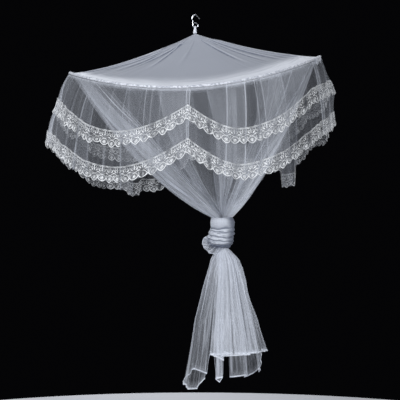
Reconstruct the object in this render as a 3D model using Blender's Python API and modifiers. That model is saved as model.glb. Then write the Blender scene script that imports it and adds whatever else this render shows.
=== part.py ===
"""Mosquito net canopy: a net curtain and a festooned lace valance hung from one sprung hoop.

The hoop is slung from a hook by a pleated roof. It sags towards the front and the back, so its
rim is a saddle and not a flat ring. The curtain is gathered in a knot below the middle, and its
tail opens again under the knot. Metres, +Z up. The front faces -Y. The origin is the inside of
the hook's bend, where a ceiling ring bears on it, and everything hangs below.
"""

import math

import bmesh
import bpy
from mathutils import Vector

# Hook, bent from one wire in the XZ plane, and the cloth tab that it carries
WIRE = 0.0035
HOOK_ROUTE = (  # x and z of the wire's centre from the top of its bend
    (0.0200, -0.0185),
    (0.0130, -0.0110),
    (0.0069, -0.0040),
    (0.0000, 0.0000),
    (-0.0085, -0.0062),
    (-0.0125, -0.0165),
    (-0.0097, -0.0250),
    (-0.0090, -0.0370),
    (-0.0085, -0.0480),
    (0.0000, -0.0500),
    (0.0105, -0.0480),
    (0.0105, -0.0400),
    (0.0040, -0.0345),
    (-0.0035, -0.0330),
)
HOOK_STEPS = 3  # points from one place on the route to the next
TAB_TOP_WIDTH = 0.008
TAB_FOOT_WIDTH = 0.015
TAB_THICKNESS = 0.0012
TAB_BENDS = 8  # flat strips in the half turn over the wire
TAB_PINCH = 0.35  # share of its depth that the tab loses at its stitched foot

# Rim: a round rod in a casing. Its height goes up and down with the angle, which starts at +X
RIM_RADIUS = 0.500
ROD = 0.006
RIM_LEVEL = -0.249
RIM_ROLL = 0.0325  # right end up, left end down
RIM_PITCH = 0.038  # back up, front down
RIM_SADDLE = 0.047  # both ends up, front and back down
CASING_HALF = 0.0050
CASING_SHOULDER = 0.0026
CASING_CROWN = 0.0058
CASING_LEG = 0.010

# Cloth
SHEET = 0.0012
GAP = 0.0003
LACE_GAP = 0.0013  # its flat repeats cross the net's warped faces
COLUMNS = 72  # round the rim; one repeat of the lace in each

# Roof
APEX_HEIGHT = -0.0755
ROOF_RINGS = (0.016, 0.09, 0.25, 0.45, 0.70, 1.0)  # shares of the rim's radius
ROOF_POWER = 1.4
ROOF_SAG = 0.008
ROOF_PUCKER = 0.004
ROOF_PUCKERS = 18

# Valance: how far the middle of the upper lace hangs below the rim at each peak and low point,
# and how much further down the middle of the lower lace is
FESTOON = (
    {"angle": -35.0, "drop": 0.125, "step": 0.140, "peak": True},
    {"angle": 0.0, "drop": 0.123, "step": 0.124, "peak": True},
    {"angle": 29.0, "drop": 0.200, "step": 0.128, "peak": False},
    {"angle": 42.0, "drop": 0.258, "step": 0.130, "peak": False},
    {"angle": 92.5, "drop": 0.116, "step": 0.159, "peak": True},
    {"angle": 109.5, "drop": 0.292, "step": 0.128, "peak": False},
    {"angle": 126.0, "drop": 0.292, "step": 0.128, "peak": False},
    {"angle": 139.0, "drop": 0.288, "step": 0.128, "peak": False},
    {"angle": 148.0, "drop": 0.226, "step": 0.129, "peak": False},
    {"angle": 176.0, "drop": 0.114, "step": 0.130, "peak": True},
    {"angle": 208.0, "drop": 0.144, "step": 0.130, "peak": True},
    {"angle": 237.0, "drop": 0.203, "step": 0.131, "peak": False},
    {"angle": 267.5, "drop": 0.095, "step": 0.122, "peak": True},
    {"angle": 290.0, "drop": 0.203, "step": 0.130, "peak": False},
)
LACE_WIDTH = 0.052
SCALLOP = 0.008
SCALLOP_LIFT = 0.002  # the points of the lace stand a little off the net
LACE_HOLE = {"width": 0.20, "top": 0.20, "foot": 0.42}  # shares of the repeat and of the width
VALANCE_TOP = 0.006
FLARE = 0.078  # how far the foot of the valance stands out from the rim
FLARE_LEAN = 0.023  # more than that at the left end, less at the right one
FLARE_REACH = 0.160
VALANCE_FOLDS = 17
VALANCE_FOLD_DEPTH = 0.011
VALANCE_FOLD_GROWTH = (0.0, 0.4, 0.7, 0.7, 1.0, 1.0)  # from the top row down; even on each lace
VALANCE_FOLD_BACK = 0.65  # share of the depth at both ends; deeper behind, shallower in front
VALANCE_FOLD_DRIFT = (  # keeps the folds from being all alike
    {"waves": 2, "size": 1.4, "start": 0.0},
    {"waves": 3, "size": 0.9, "start": 1.0},
)
VALANCE_ROWS = len(VALANCE_FOLD_GROWTH)
UPPER_LACE_ROWS = (2, 3)
LOWER_LACE_ROWS = (4, 5)

# Draw tape behind the front peak
TAPE_ANGLE = 267.5
TAPE_WIDTH = 0.014
TAPE_ROWS = (0.35, 1.0, 2.0, 3.0, 4.0)  # counted in the rows of the valance

# Curtain: from the rim to the knot, through the knot and down to the hem
PLEATS = 16
STEPS_PER_PLEAT = 4
PLEAT_DRIFT = (
    {"waves": 2, "size": 0.9, "start": 0.0},
    {"waves": 1, "size": 0.6, "start": 1.0},
)
DOOR_EDGE = 228.0  # degrees, where the outer edge of the door leaves the rim
DOOR_OVERLAP = 22.5
DOOR_STEP = 0.011  # between the two layers of the overlap
DOOR_SHRINK = 0.2  # share of the neck's and the tail's width that the inner edge stays within
CURTAIN_TOP = 0.004
CURTAIN_GAP = 0.0012  # its straight sides are not those of the casing
CURTAIN_SAG = 0.070
FUNNEL_STEPS = 7
FUNNEL_PLEAT = 0.016
TAIL_STEPS = 2
SECTIONS = (  # x, z, half width, half depth, depth of a pleat, turn in degrees
    {"x": 0.107, "z": -0.813, "wide": 0.042, "deep": 0.040, "pleat": 0.0040, "turn": 0.0},
    {"x": 0.110, "z": -0.838, "wide": 0.051, "deep": 0.047, "pleat": 0.0030, "turn": 6.0},
    {"x": 0.107, "z": -0.866, "wide": 0.048, "deep": 0.044, "pleat": 0.0025, "turn": 12.0},
    {"x": 0.092, "z": -0.898, "wide": 0.061, "deep": 0.053, "pleat": 0.0030, "turn": 20.0},
    {"x": 0.086, "z": -0.936, "wide": 0.050, "deep": 0.045, "pleat": 0.0030, "turn": 28.0},
    {"x": 0.110, "z": -0.958, "wide": 0.035, "deep": 0.034, "pleat": 0.0045, "turn": 34.0},
    {"x": 0.128, "z": -1.012, "wide": 0.071, "deep": 0.056, "pleat": 0.0090, "turn": 36.0},
    {"x": 0.136, "z": -1.100, "wide": 0.098, "deep": 0.076, "pleat": 0.0140, "turn": 37.0},
    {"x": 0.139, "z": -1.225, "wide": 0.128, "deep": 0.098, "pleat": 0.0180, "turn": 38.0},
)
HEM_SECTION = {"x": 0.137, "wide": 0.153, "deep": 0.115, "pleat": 0.0200, "turn": 39.0}
HEM = (  # angle in degrees, height of the hem there
    {"angle": 20.0, "z": -1.395},
    {"angle": 60.0, "z": -1.470},
    {"angle": 130.0, "z": -1.480},
    {"angle": 185.0, "z": -1.500},
    {"angle": 232.0, "z": -1.440},
    {"angle": 258.0, "z": -1.345},
    {"angle": 345.0, "z": -1.335},
)


def clear_scene():
    for obj in list(bpy.data.objects):
        bpy.data.objects.remove(obj)


def new_collection(name):
    collection = bpy.data.collections.new(name)
    bpy.context.scene.collection.children.link(collection)
    return collection


def material(name, colour, roughness, metallic=0.0, alpha=1.0):
    made = bpy.data.materials.new(name)
    made.use_nodes = True
    shader = made.node_tree.nodes["Principled BSDF"]
    shader.inputs["Base Color"].default_value = (*colour, 1.0)
    shader.inputs["Roughness"].default_value = roughness
    shader.inputs["Metallic"].default_value = metallic
    shader.inputs["Alpha"].default_value = alpha
    return made


def add_object(name, data, look, collection):
    obj = bpy.data.objects.new(name, data)
    data.materials.append(look)
    collection.objects.link(obj)
    return obj


def wire(name, points, diameter, look, collection, closed=False, resolution=2):
    """A round wire along the points, as one mesh with its end caps welded on."""
    curve = bpy.data.curves.new(name, "CURVE")
    curve.dimensions = "3D"
    curve.bevel_depth = diameter / 2
    curve.bevel_resolution = resolution
    curve.use_fill_caps = not closed
    spline = curve.splines.new("POLY")
    spline.points.add(len(points) - 1)
    for place, point in zip(spline.points, points):
        place.co = (*point, 1.0)
    spline.use_cyclic_u = closed
    guide = bpy.data.objects.new(name + "_guide", curve)
    collection.objects.link(guide)
    bpy.context.view_layer.update()
    graph = bpy.context.evaluated_depsgraph_get()
    mesh = bpy.data.meshes.new_from_object(guide.evaluated_get(graph))
    bpy.data.objects.remove(guide)
    shape = bmesh.new()
    shape.from_mesh(mesh)
    bmesh.ops.remove_doubles(shape, verts=shape.verts, dist=1e-6)
    bmesh.ops.recalc_face_normals(shape, faces=shape.faces)
    shape.to_mesh(mesh)
    shape.free()
    mesh.name = name
    mesh.materials.clear()
    mesh.shade_smooth()
    return add_object(name, mesh, look, collection)


def flat_grid(columns, rows):
    """A grid whose vertices run from 0 to 1 along X and from 0 to 1 along Y."""
    shape = bmesh.new()
    bmesh.ops.create_grid(shape, x_segments=columns, y_segments=rows, size=0.5)
    for vertex in shape.verts:
        vertex.co += Vector((0.5, 0.5, 0.0))
    return shape


def sheet(name, shape, place, look, collection, thickness=SHEET):
    """Cloth from a flat grid: place(u, v) says where each point hangs. It thickens backwards."""
    for vertex in shape.verts:
        vertex.co = place(vertex.co.x, vertex.co.y)
    bmesh.ops.remove_doubles(shape, verts=shape.verts, dist=1e-6)
    mesh = bpy.data.meshes.new(name)
    shape.to_mesh(mesh)
    shape.free()
    mesh.shade_smooth()
    obj = add_object(name, mesh, look, collection)
    solid = obj.modifiers.new("thickness", "SOLIDIFY")
    solid.thickness = thickness
    solid.offset = -1.0
    return obj


def around(angle):
    return Vector((math.cos(angle), math.sin(angle), 0.0))


def rim_height(angle):
    tilt = RIM_ROLL * math.cos(angle) + RIM_PITCH * math.sin(angle)
    return RIM_LEVEL + tilt + RIM_SADDLE * math.cos(2 * angle)


def rim_point(angle, outward=0.0, up=0.0):
    point = around(angle) * (RIM_RADIUS + outward)
    point.z = rim_height(angle) + up
    return point


def between(rows, degrees, column):
    """What a table of angles holds on both sides of an angle.

    It returns the two values of the column, the share of the way from one to the other, and the
    two rows.
    """
    start = rows[0]["angle"]
    degrees = start + (degrees - start) % 360.0
    ends = rows[1:] + ({**rows[0], "angle": start + 360.0},)
    for row, following in zip(rows, ends):
        if degrees <= following["angle"]:
            break
    share = (degrees - row["angle"]) / (following["angle"] - row["angle"])
    return row[column], following[column], share, row, following


def smooth_step(share):
    return share * share * (3 - 2 * share)


def drifting(angle, waves, drift):
    """A cosine with so many waves in a turn, whose waves are wide here and narrow there."""
    shift = sum(row["size"] * math.sin(row["waves"] * angle + row["start"]) for row in drift)
    return math.cos(waves * angle + shift)


# Hook and tab


def smooth_route(points, steps):
    """Points on a smooth curve through the given ones."""
    padded = [points[0], *points, points[-1]]
    route = []
    for index in range(1, len(padded) - 2):
        a, b, c, d = (Vector(padded[index + shift]) for shift in (-1, 0, 1, 2))
        for step in range(steps):
            t = step / steps
            bend = (2 * a - 5 * b + 4 * c - d) * t * t + (3 * b - a - 3 * c + d) * t**3
            route.append(0.5 * (2 * b + (c - a) * t + bend))
    route.append(Vector(points[-1]))
    return route


def make_hook(look, collection):
    lift = WIRE / 2
    route = smooth_route([(x, 0.0, z + lift) for x, z in HOOK_ROUTE], HOOK_STEPS)
    return wire("hook", route, WIRE, look, collection)


def make_tab(look, collection):
    """A strip that goes up in front of the hook's foot, over it and down behind."""
    over = Vector((0.0, 0.0, min(z for _, z in HOOK_ROUTE) + WIRE / 2))
    reach = WIRE / 2 + GAP + TAB_THICKNESS
    foot = APEX_HEIGHT + 2 * GAP

    def place(u, v):
        along = v * (TAB_BENDS + 2)
        share = min(max((along - 1) / TAB_BENDS, 0.0), 1.0)
        turn = math.pi * share
        y = -reach * math.cos(turn)
        z = over.z + reach * math.sin(turn)
        if along < 1:
            z += (along - 1) * (over.z - foot)
        if along > TAB_BENDS + 1:
            z -= (along - TAB_BENDS - 1) * (over.z - foot)
        low = min((over.z - z) / (over.z - foot), 1.0) if z < over.z else 0.0
        width = TAB_TOP_WIDTH + (TAB_FOOT_WIDTH - TAB_TOP_WIDTH) * low
        return Vector(((u - 0.5) * width, y * (1 - TAB_PINCH * low), z))

    return sheet("tab", flat_grid(2, TAB_BENDS + 2), place, look, collection, TAB_THICKNESS)


# Rim


def make_rod(look, collection):
    points = [rim_point(2 * math.pi * index / COLUMNS) for index in range(COLUMNS)]
    return wire("hoop", points, ROD, look, collection, closed=True, resolution=1)


def make_casing(look, collection):
    """The band that is folded over the rod, open below."""
    profile = (
        (-CASING_HALF, -CASING_LEG),
        (-CASING_HALF, CASING_SHOULDER),
        (0.0, CASING_CROWN),
        (CASING_HALF, CASING_SHOULDER),
        (CASING_HALF, -CASING_LEG),
    )

    def place(u, v):
        outward, up = profile[round(v * (len(profile) - 1))]
        return rim_point(-2 * math.pi * u, outward, up)

    return sheet("casing", flat_grid(COLUMNS, len(profile) - 1), place, look, collection)


def make_roof(look, collection):
    shares = (0.0, *ROOF_RINGS)
    edge = RIM_RADIUS - CASING_HALF - GAP

    def place(u, v):
        share = shares[round(v * (len(shares) - 1))]
        angle = -2 * math.pi * u
        rise = (1 - share) ** ROOF_POWER
        height = rim_height(angle) * (1 - rise) + APEX_HEIGHT * rise
        height -= ROOF_SAG * 4 * share * (1 - share)
        pucker = ROOF_PUCKER * math.cos(ROOF_PUCKERS * angle) * math.cos(angle) ** 2
        height += pucker * share * (1 - share)
        if share < shares[2]:
            height = APEX_HEIGHT
        point = around(angle) * edge * share
        point.z = height
        return point

    return sheet("roof", flat_grid(COLUMNS, len(shares) - 1), place, look, collection)


# Valance, its two bands of lace and its draw tape


def festoon(angle, column):
    """A column of the festoon at an angle: pointed at the peaks, round at the low points."""
    here, there, share, row, following = between(FESTOON, math.degrees(angle), column)
    if row["peak"] and not following["peak"]:
        share = math.sin(share * math.pi / 2)
    elif following["peak"] and not row["peak"]:
        share = 1 - math.sin((1 - share) * math.pi / 2)
    return here + (there - here) * share


def valance_drops(angle):
    """The heights of the valance's rows below the rim, from its top to its foot."""
    upper = festoon(angle, "drop")
    lower = upper + festoon(angle, "step")
    half = LACE_WIDTH / 2
    return (VALANCE_TOP, upper / 2, upper - half, upper + half, lower - half, lower + half)


def valance_station(column, row, stand_off=0.0):
    """A corner of the valance's outer face."""
    angle = 2 * math.pi * column / COLUMNS
    drop = valance_drops(angle)[row]
    hang = max(drop - VALANCE_TOP, 0.0)
    flare = (FLARE - FLARE_LEAN * math.cos(angle)) * (1 - math.exp(-hang / FLARE_REACH))
    deep = VALANCE_FOLD_BACK + (1 - VALANCE_FOLD_BACK) * math.sin(angle)
    deep *= VALANCE_FOLD_DEPTH * VALANCE_FOLD_GROWTH[row]
    fold = deep * drifting(angle, VALANCE_FOLDS, VALANCE_FOLD_DRIFT)
    outward = CASING_HALF + GAP + SHEET + flare + fold + stand_off
    return rim_point(angle, outward, -drop)


def on_valance(columns, rows, stand_off):
    """A place on the flat faces between the valance's corners, given in columns and rows."""
    column = math.floor(columns)
    row = min(math.floor(rows), VALANCE_ROWS - 2)
    edges = []
    for side in (column, column + 1):
        top = valance_station(side, row, stand_off)
        foot = valance_station(side, row + 1, stand_off)
        edges.append(top.lerp(foot, rows - row))
    return edges[0].lerp(edges[1], columns - column)


def make_valance(look, collection):
    def place(u, v):
        return valance_station(round(u * COLUMNS), round((1 - v) * (VALANCE_ROWS - 1)))

    return sheet("valance", flat_grid(COLUMNS, VALANCE_ROWS - 1), place, look, collection)


def make_lace(name, rows, look, collection):
    """A band with one hole and one scallop in each repeat."""
    shape = flat_grid(COLUMNS, 1)
    foot = [edge for edge in shape.edges if all(vertex.co.y < 0.5 for vertex in edge.verts)]
    cut = bmesh.ops.subdivide_edges(shape, edges=foot, cuts=1)
    for item in cut["geom_inner"]:
        if isinstance(item, bmesh.types.BMVert):
            item.co.y -= SCALLOP / LACE_WIDTH
    repeats = list(shape.faces)
    centres = [face.calc_center_bounds().x for face in repeats]
    half = LACE_HOLE["width"] / 2 / COLUMNS
    bmesh.ops.inset_individual(shape, faces=repeats, thickness=2 * half)
    for face, centre in zip(repeats, centres):
        middle = [vertex for vertex in face.verts if abs(vertex.co.x - centre) < half / 4]
        for vertex in face.verts:
            top = vertex.co.y > 0.5
            side = math.copysign(half, vertex.co.x - centre)
            vertex.co.x = centre if vertex in middle else centre + side
            vertex.co.y = 1 - (LACE_HOLE["top"] if top else LACE_HOLE["foot"])
        for vertex in middle:
            vertex.co.y -= LACE_HOLE["width"] / 4
    bmesh.ops.delete(shape, geom=repeats, context="FACES_ONLY")

    net_below = FESTOON[0]["step"] - LACE_WIDTH if rows == UPPER_LACE_ROWS else LACE_WIDTH

    def place(u, v):
        if v >= 0:
            return on_valance(u * COLUMNS, rows[1] - v, LACE_GAP + SHEET)
        row = rows[1] - v * LACE_WIDTH / net_below
        return on_valance(u * COLUMNS, row, LACE_GAP + SHEET + SCALLOP_LIFT)

    return sheet(name, shape, place, look, collection)


def make_tape(look, collection):
    middle = TAPE_ANGLE / 360.0 * COLUMNS
    half = TAPE_WIDTH / 2 / (2 * math.pi * RIM_RADIUS) * COLUMNS

    def place(u, v):
        columns = middle + (2 * u - 1) * half
        row = TAPE_ROWS[round((1 - v) * (len(TAPE_ROWS) - 1))]
        return on_valance(columns, row, -SHEET - LACE_GAP)

    return sheet("draw_tape", flat_grid(1, len(TAPE_ROWS) - 1), place, look, collection)


# Curtain


def hem_height(angle):
    here, there, share, _, _ = between(HEM, math.degrees(angle), "z")
    return here + (there - here) * smooth_step(share)


def section_point(section, angle, inward, z=None):
    """A point on one cross-section of the gathered cloth below the rim."""
    turned = angle + math.radians(section["turn"])
    wave = section["pleat"] * drifting(angle, PLEATS, PLEAT_DRIFT)
    shrink = 1 - inward * DOOR_SHRINK
    x = section["x"] + (section["wide"] + wave) * shrink * math.cos(turned)
    y = (section["deep"] + wave) * shrink * math.sin(turned)
    return Vector((x, y, section["z"] if z is None else z))


def funnel_point(share, angle, inward):
    """A point between the rim and the neck: the cloth sags between the two."""
    outward = -CASING_HALF - CURTAIN_GAP - inward * DOOR_STEP
    top = rim_point(angle, outward, -CURTAIN_TOP)
    neck = section_point(SECTIONS[0], angle, inward)
    point = top.lerp(neck, share)
    point.z -= CURTAIN_SAG * 4 * share * (1 - share)
    swell = FUNNEL_PLEAT * 4 * share * (1 - share)
    return point + around(angle) * swell * drifting(angle, PLEATS, PLEAT_DRIFT)


def make_curtain(look, collection):
    """One cloth, open down the door: the two edges overlap and never meet."""
    steps = round(PLEATS * STEPS_PER_PLEAT * (360.0 + DOOR_OVERLAP) / 360.0)
    rows = FUNNEL_STEPS + len(SECTIONS) - 1 + TAIL_STEPS
    last = SECTIONS[-1]

    def place(u, v):
        angle = math.radians(DOOR_EDGE - (1 - u) * (360.0 + DOOR_OVERLAP))
        inward = 1 - u
        row = round((1 - v) * rows)
        if row <= FUNNEL_STEPS:
            return funnel_point(row / FUNNEL_STEPS, angle, inward)
        row -= FUNNEL_STEPS
        if row < len(SECTIONS):
            return section_point(SECTIONS[row], angle, inward)
        share = (row - len(SECTIONS) + 1) / TAIL_STEPS
        section = {key: last[key] + (HEM_SECTION[key] - last[key]) * share for key in HEM_SECTION}
        turned = angle + math.radians(section["turn"])
        z = last["z"] + (hem_height(turned) - last["z"]) * share
        return section_point(section, angle, inward, z)

    return sheet("curtain", flat_grid(steps, rows), place, look, collection)


def main():
    clear_scene()
    parts = new_collection("mosquito_net_canopy")
    steel = material("hook_steel", (0.62, 0.62, 0.64), 0.30, metallic=1.0)
    rod_plastic = material("rod_plastic", (0.80, 0.81, 0.82), 0.45)
    tape_cloth = material("tape_cloth", (0.86, 0.87, 0.90), 0.85)
    roof_cloth = material("roof_cloth", (0.66, 0.69, 0.75), 0.80)
    net = material("net", (0.72, 0.75, 0.80), 0.85, alpha=0.45)
    lace = material("lace", (0.90, 0.91, 0.93), 0.80)
    make_hook(steel, parts)
    make_tab(tape_cloth, parts)
    make_rod(rod_plastic, parts)
    make_casing(tape_cloth, parts)
    make_roof(roof_cloth, parts)
    make_valance(net, parts)
    make_lace("upper_lace", UPPER_LACE_ROWS, lace, parts)
    make_lace("lower_lace", LOWER_LACE_ROWS, lace, parts)
    make_tape(tape_cloth, parts)
    make_curtain(net, parts)


main()
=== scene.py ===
# %% [markdown]
# # A mosquito net canopy, dressed
# The real canopy is a sprung hoop that hangs from a wire hook. A smooth roof is tied to the hook,
# a lace valance hangs round the rim in swags, and a long net curtain is gathered in a knot.
# This lesson first loads the solid model, which fixes every size. All later cells make finer
# cloth in the same place, so nothing has to be fitted by hand.

# %% Load the solid model
import math

import bmesh
import bpy
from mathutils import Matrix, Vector, noise


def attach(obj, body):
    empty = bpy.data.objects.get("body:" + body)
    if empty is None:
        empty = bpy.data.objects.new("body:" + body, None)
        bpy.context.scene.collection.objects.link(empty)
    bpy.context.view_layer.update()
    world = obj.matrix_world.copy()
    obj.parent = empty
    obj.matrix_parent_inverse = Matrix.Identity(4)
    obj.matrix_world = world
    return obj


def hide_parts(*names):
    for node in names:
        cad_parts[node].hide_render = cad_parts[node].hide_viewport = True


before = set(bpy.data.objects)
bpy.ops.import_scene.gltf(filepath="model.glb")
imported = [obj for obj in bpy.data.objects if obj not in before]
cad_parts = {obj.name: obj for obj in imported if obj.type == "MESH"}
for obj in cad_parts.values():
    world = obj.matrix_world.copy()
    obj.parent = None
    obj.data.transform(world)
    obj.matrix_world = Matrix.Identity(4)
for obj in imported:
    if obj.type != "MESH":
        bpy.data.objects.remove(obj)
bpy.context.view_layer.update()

print("nodes:", sorted(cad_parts))

# %% [markdown]
# ## Tables of numbers
# Lamps, folds and hems are easier to compare in a table than in a list of calls. One helper
# gives every row the names of its columns, so a later cell asks for `row["angle"]` and nobody
# has to count places.


# %% Tables of numbers
def table(columns, *rows):
    """Rows that are read by the names of their columns."""
    names = columns.split()
    return tuple(dict(zip(names, row)) for row in rows)


print("tables ready")

# %% [markdown]
# ## Floor, light and camera
# Sheer net shows best before a dark studio, lit by large soft lights from the front and above.
# One large light gives the folds their shade, and two weaker ones lift the sides. The camera
# stands level with the knot, five metres in front, because the photograph was taken that way.
# A pale round floor lies some way below the tail.

# %% Floor, light and camera
scene = bpy.context.scene
CAMERA_PLACE = Vector((0.020, -5.0, -0.745))
FOCAL_PIXELS = 1242
SENSOR = 36.0
FRAME_PIXELS = 400
LAMP_COLOUR = (0.90, 0.935, 1.0)
STUDIO_COLOUR = (0.0014, 0.0014, 0.0018)
LAMPS = table(
    "name place aim size watts",
    ("key_light", (-2.7, -3.7, 1.25), (0.0, 0.0, -0.6), 1.8, 176),
    ("fill_light", (2.8, -3.3, -0.8), (0.1, 0.0, -0.6), 1.8, 76),
    ("top_light", (0.2, -0.6, 2.6), (0.0, 0.0, -0.4), 1.8, 26),
    ("back_light", (-0.6, 3.6, 0.6), (0.0, 0.0, -0.7), 2.0, 90),
)


def add_camera():
    lens = bpy.data.cameras.new("camera")
    lens.sensor_width = SENSOR
    lens.lens = FOCAL_PIXELS / FRAME_PIXELS * SENSOR
    camera = bpy.data.objects.new("camera", lens)
    camera.location = CAMERA_PLACE
    camera.rotation_euler = (math.pi / 2, 0.0, 0.0)
    scene.collection.objects.link(camera)
    scene.camera = camera


def add_light(name, place, aim, size, watts):
    lamp = bpy.data.lights.new(name, "AREA")
    lamp.size = size
    lamp.energy = watts
    lamp.color = LAMP_COLOUR
    light = bpy.data.objects.new(name, lamp)
    light.location = place
    light.rotation_euler = (Vector(aim) - Vector(place)).to_track_quat("-Z", "Y").to_euler()
    scene.collection.objects.link(light)


def dark_studio():
    world = bpy.data.worlds.new("studio")
    world.use_nodes = True
    world.node_tree.nodes["Background"].inputs["Color"].default_value = (*STUDIO_COLOUR, 1.0)
    scene.world = world


add_camera()
for lamp_row in LAMPS:
    add_light(**lamp_row)
dark_studio()
scene.view_settings.view_transform = "Standard"
print("camera", tuple(scene.camera.location))

# %% [markdown]
# ## Shader sums as plain Python
# A material is a tree of small nodes. Writing `1 - threads * cover` is easier to read than six
# lines that add and link nodes, so one class wraps a socket and turns each sum into Math nodes.
# Most finishes only wander between two values, and `between` says which. A second class holds
# the material and adds any other node in one call.


# %% Sums with sockets
class Signal:
    """A number that a material reads. Sums with it add Math nodes."""

    def __init__(self, look, socket):
        self.look = look
        self.socket = socket

    def sum_with(self, operation, *values):
        node = self.look.node("ShaderNodeMath", {"operation": operation}, *values)
        return Signal(self.look, node.outputs[0])

    def __add__(self, other):
        return self.sum_with("ADD", self, other)

    def __radd__(self, other):
        return self.sum_with("ADD", other, self)

    def __rsub__(self, other):
        return self.sum_with("SUBTRACT", other, self)

    def __mul__(self, other):
        return self.sum_with("MULTIPLY", self, other)

    def __rmul__(self, other):
        return self.sum_with("MULTIPLY", other, self)

    def at_most(self, other):
        return self.sum_with("MINIMUM", self, other)

    def between(self, low, high):
        """Low where the signal is 0, high where it is 1."""
        return low + (high - low) * self

    def ramp(self, low, high):
        """A soft step from 0 at the low value to 1 at the high one."""
        settings = {"interpolation_type": "SMOOTHSTEP"}
        node = self.look.node("ShaderNodeMapRange", settings, self, low, high)
        return Signal(self.look, node.outputs[0])


print("sums ready")

# %% One finish
MIX_COLOUR_INPUTS = (6, 7)  # the Mix node's two colour sockets, and its colour output
MIX_COLOUR_OUTPUT = 2
HOLE_RANDOMNESS = 0.25  # 0 is an even net


class Look:
    """One finish, built round a Principled shader."""

    def __init__(self, name):
        self.material = bpy.data.materials.new(name)
        self.material.use_nodes = True
        self.tree = self.material.node_tree
        self.shader = self.tree.nodes["Principled BSDF"]

    def node(self, kind, settings=None, *values, **named):
        made = self.tree.nodes.new(kind)
        for key, value in (settings or {}).items():
            setattr(made, key, value)
        for place, value in [*enumerate(values), *named.items()]:
            self.feed(made.inputs[place], value)
        return made

    def feed(self, socket, value):
        if isinstance(value, Signal):
            value = value.socket
        if isinstance(value, bpy.types.NodeSocket):
            self.tree.links.new(value, socket)
        else:
            socket.default_value = value

    def signal(self, node, output=0):
        return Signal(self, node.outputs[output])

    def attribute(self, name):
        return self.signal(self.node("ShaderNodeAttribute", {"attribute_name": name}), "Fac")

    def place(self, stretch, flat=False):
        """Where a point is, stretched: on the flat cloth in metres, or in the object."""
        source = self.node("ShaderNodeTexCoord").outputs["UV" if flat else "Object"]
        mapping = self.node("ShaderNodeMapping", None, source)
        even = not isinstance(stretch, tuple)
        mapping.inputs["Scale"].default_value = (stretch, stretch, stretch) if even else stretch
        return mapping.outputs[0]

    def noise(self, stretch, detail=2.0, flat=False):
        node = self.node("ShaderNodeTexNoise", None, Vector=self.place(stretch, flat))
        node.inputs["Scale"].default_value = 1.0
        node.inputs["Detail"].default_value = detail
        return self.signal(node, "Fac")

    def cells(self, size, flat=True):
        """How far a point is from the threads round the holes of a net, in holes."""
        settings = {"feature": "DISTANCE_TO_EDGE"}
        node = self.node("ShaderNodeTexVoronoi", settings, Vector=self.place(1 / size, flat))
        node.inputs["Scale"].default_value = 1.0
        node.inputs["Randomness"].default_value = HOLE_RANDOMNESS
        return self.signal(node, "Distance")

    def mix(self, factor, *colours):
        """From the first colour to the second."""
        node = self.node("ShaderNodeMix", {"data_type": "RGBA"}, factor)
        for place, colour in zip(MIX_COLOUR_INPUTS, colours):
            self.feed(node.inputs[place], (*colour, 1.0) if isinstance(colour, tuple) else colour)
        return node.outputs[MIX_COLOUR_OUTPUT]

    def bump(self, height, strength, distance):
        node = self.node("ShaderNodeBump", None, Height=height)
        node.inputs["Strength"].default_value = strength
        node.inputs["Distance"].default_value = distance
        self.feed(self.shader.inputs["Normal"], node.outputs[0])

    def set(self, **values):
        for name, value in values.items():
            self.feed(self.shader.inputs[name.replace("_", " ")], value)


print("helpers ready")

# %% [markdown]
# ## Finishes
# The net is see-through: every sheet carries a "cover" number at each point, the share of the
# view that its threads close. Where the cloth is bunched, creased or hemmed the cover is higher,
# just as real threads crowd there. The same number serves the lace, whose stitches are dense.
# A second number, "shade", paints light and shade into the colour: painted shade in the knot's
# creases, on its side away from the key light, under its last turn and in its loop, and painted
# highlights and shade on the roof's wrinkles, with a denser doubled hem that is painted paler.

# %% Colours
COLOURS = {  # a darker and a paler one for each finish
    "net": ((0.78, 0.81, 0.89), (0.95, 0.97, 1.00)),
    "lace": ((0.92, 0.92, 0.91), (1.00, 1.00, 0.98)),
    # the roof's darker end is painted shade in grooves; its paler end is the doubled hem and
    # painted light
    "roof": ((0.18, 0.196, 0.24), (0.90, 0.91, 0.95)),
    "tape": ((0.48, 0.50, 0.55), (0.90, 0.91, 0.94)),
    "steel": ((0.62, 0.63, 0.66), (0.86, 0.87, 0.88)),
    "rod": ((0.76, 0.77, 0.79), (0.86, 0.87, 0.88)),
    "floor": ((0.56, 0.56, 0.57), (0.62, 0.62, 0.63)),
}
PAINTED_SHADE_COLOUR = (0.10, 0.12, 0.18)  # painted shade on the knot and its loop
NET_HOLE = 0.0016
ROOF_HOLE = 0.0009
NET_LIMIT = 0.97  # no net closes the view fully
STREAKS = (95.0, 2.2, 1.0)  # fine across the net and long down it
DRAWN_STREAKS = (7.0, 75.0, 1.0)  # long round the roof and fine towards its tip
print("colours:", sorted(COLOURS))


# %% Finishes of the cloth
def net_look():
    look = Look("net")
    cover = look.attribute("cover")
    streaks = look.noise(STREAKS, 3.0, flat=True)
    threads = 1 - look.cells(NET_HOLE).ramp(0.02, 0.22)
    weave = threads.between(0.88, 1.12)
    look.set(Alpha=(cover * weave * streaks.between(0.50, 1.50)).at_most(NET_LIMIT))
    fair = look.mix(streaks, *COLOURS["net"])
    # painted shade: the "shade" number darkens the net towards the painted shade colour
    look.set(Base_Color=look.mix(look.attribute("shade"), fair, PAINTED_SHADE_COLOUR))
    look.set(Roughness=streaks.between(0.80, 0.90))
    look.set(Sheen_Weight=0.25, Sheen_Roughness=0.4, Specular_IOR_Level=0.25)
    return look.material


def lace_look():
    look = Look("lace_thread")
    cover = look.attribute("cover")
    twist = look.noise(900.0, 1.0)
    look.set(Alpha=(cover * twist.between(0.85, 1.15)).at_most(1.0))
    look.set(Base_Color=look.mix(twist, *COLOURS["lace"]))
    look.set(Roughness=twist.between(0.55, 0.75))
    look.set(Sheen_Weight=0.3, Specular_IOR_Level=0.4)
    look.bump(twist, 0.35, 0.0004)
    return look.material


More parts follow.
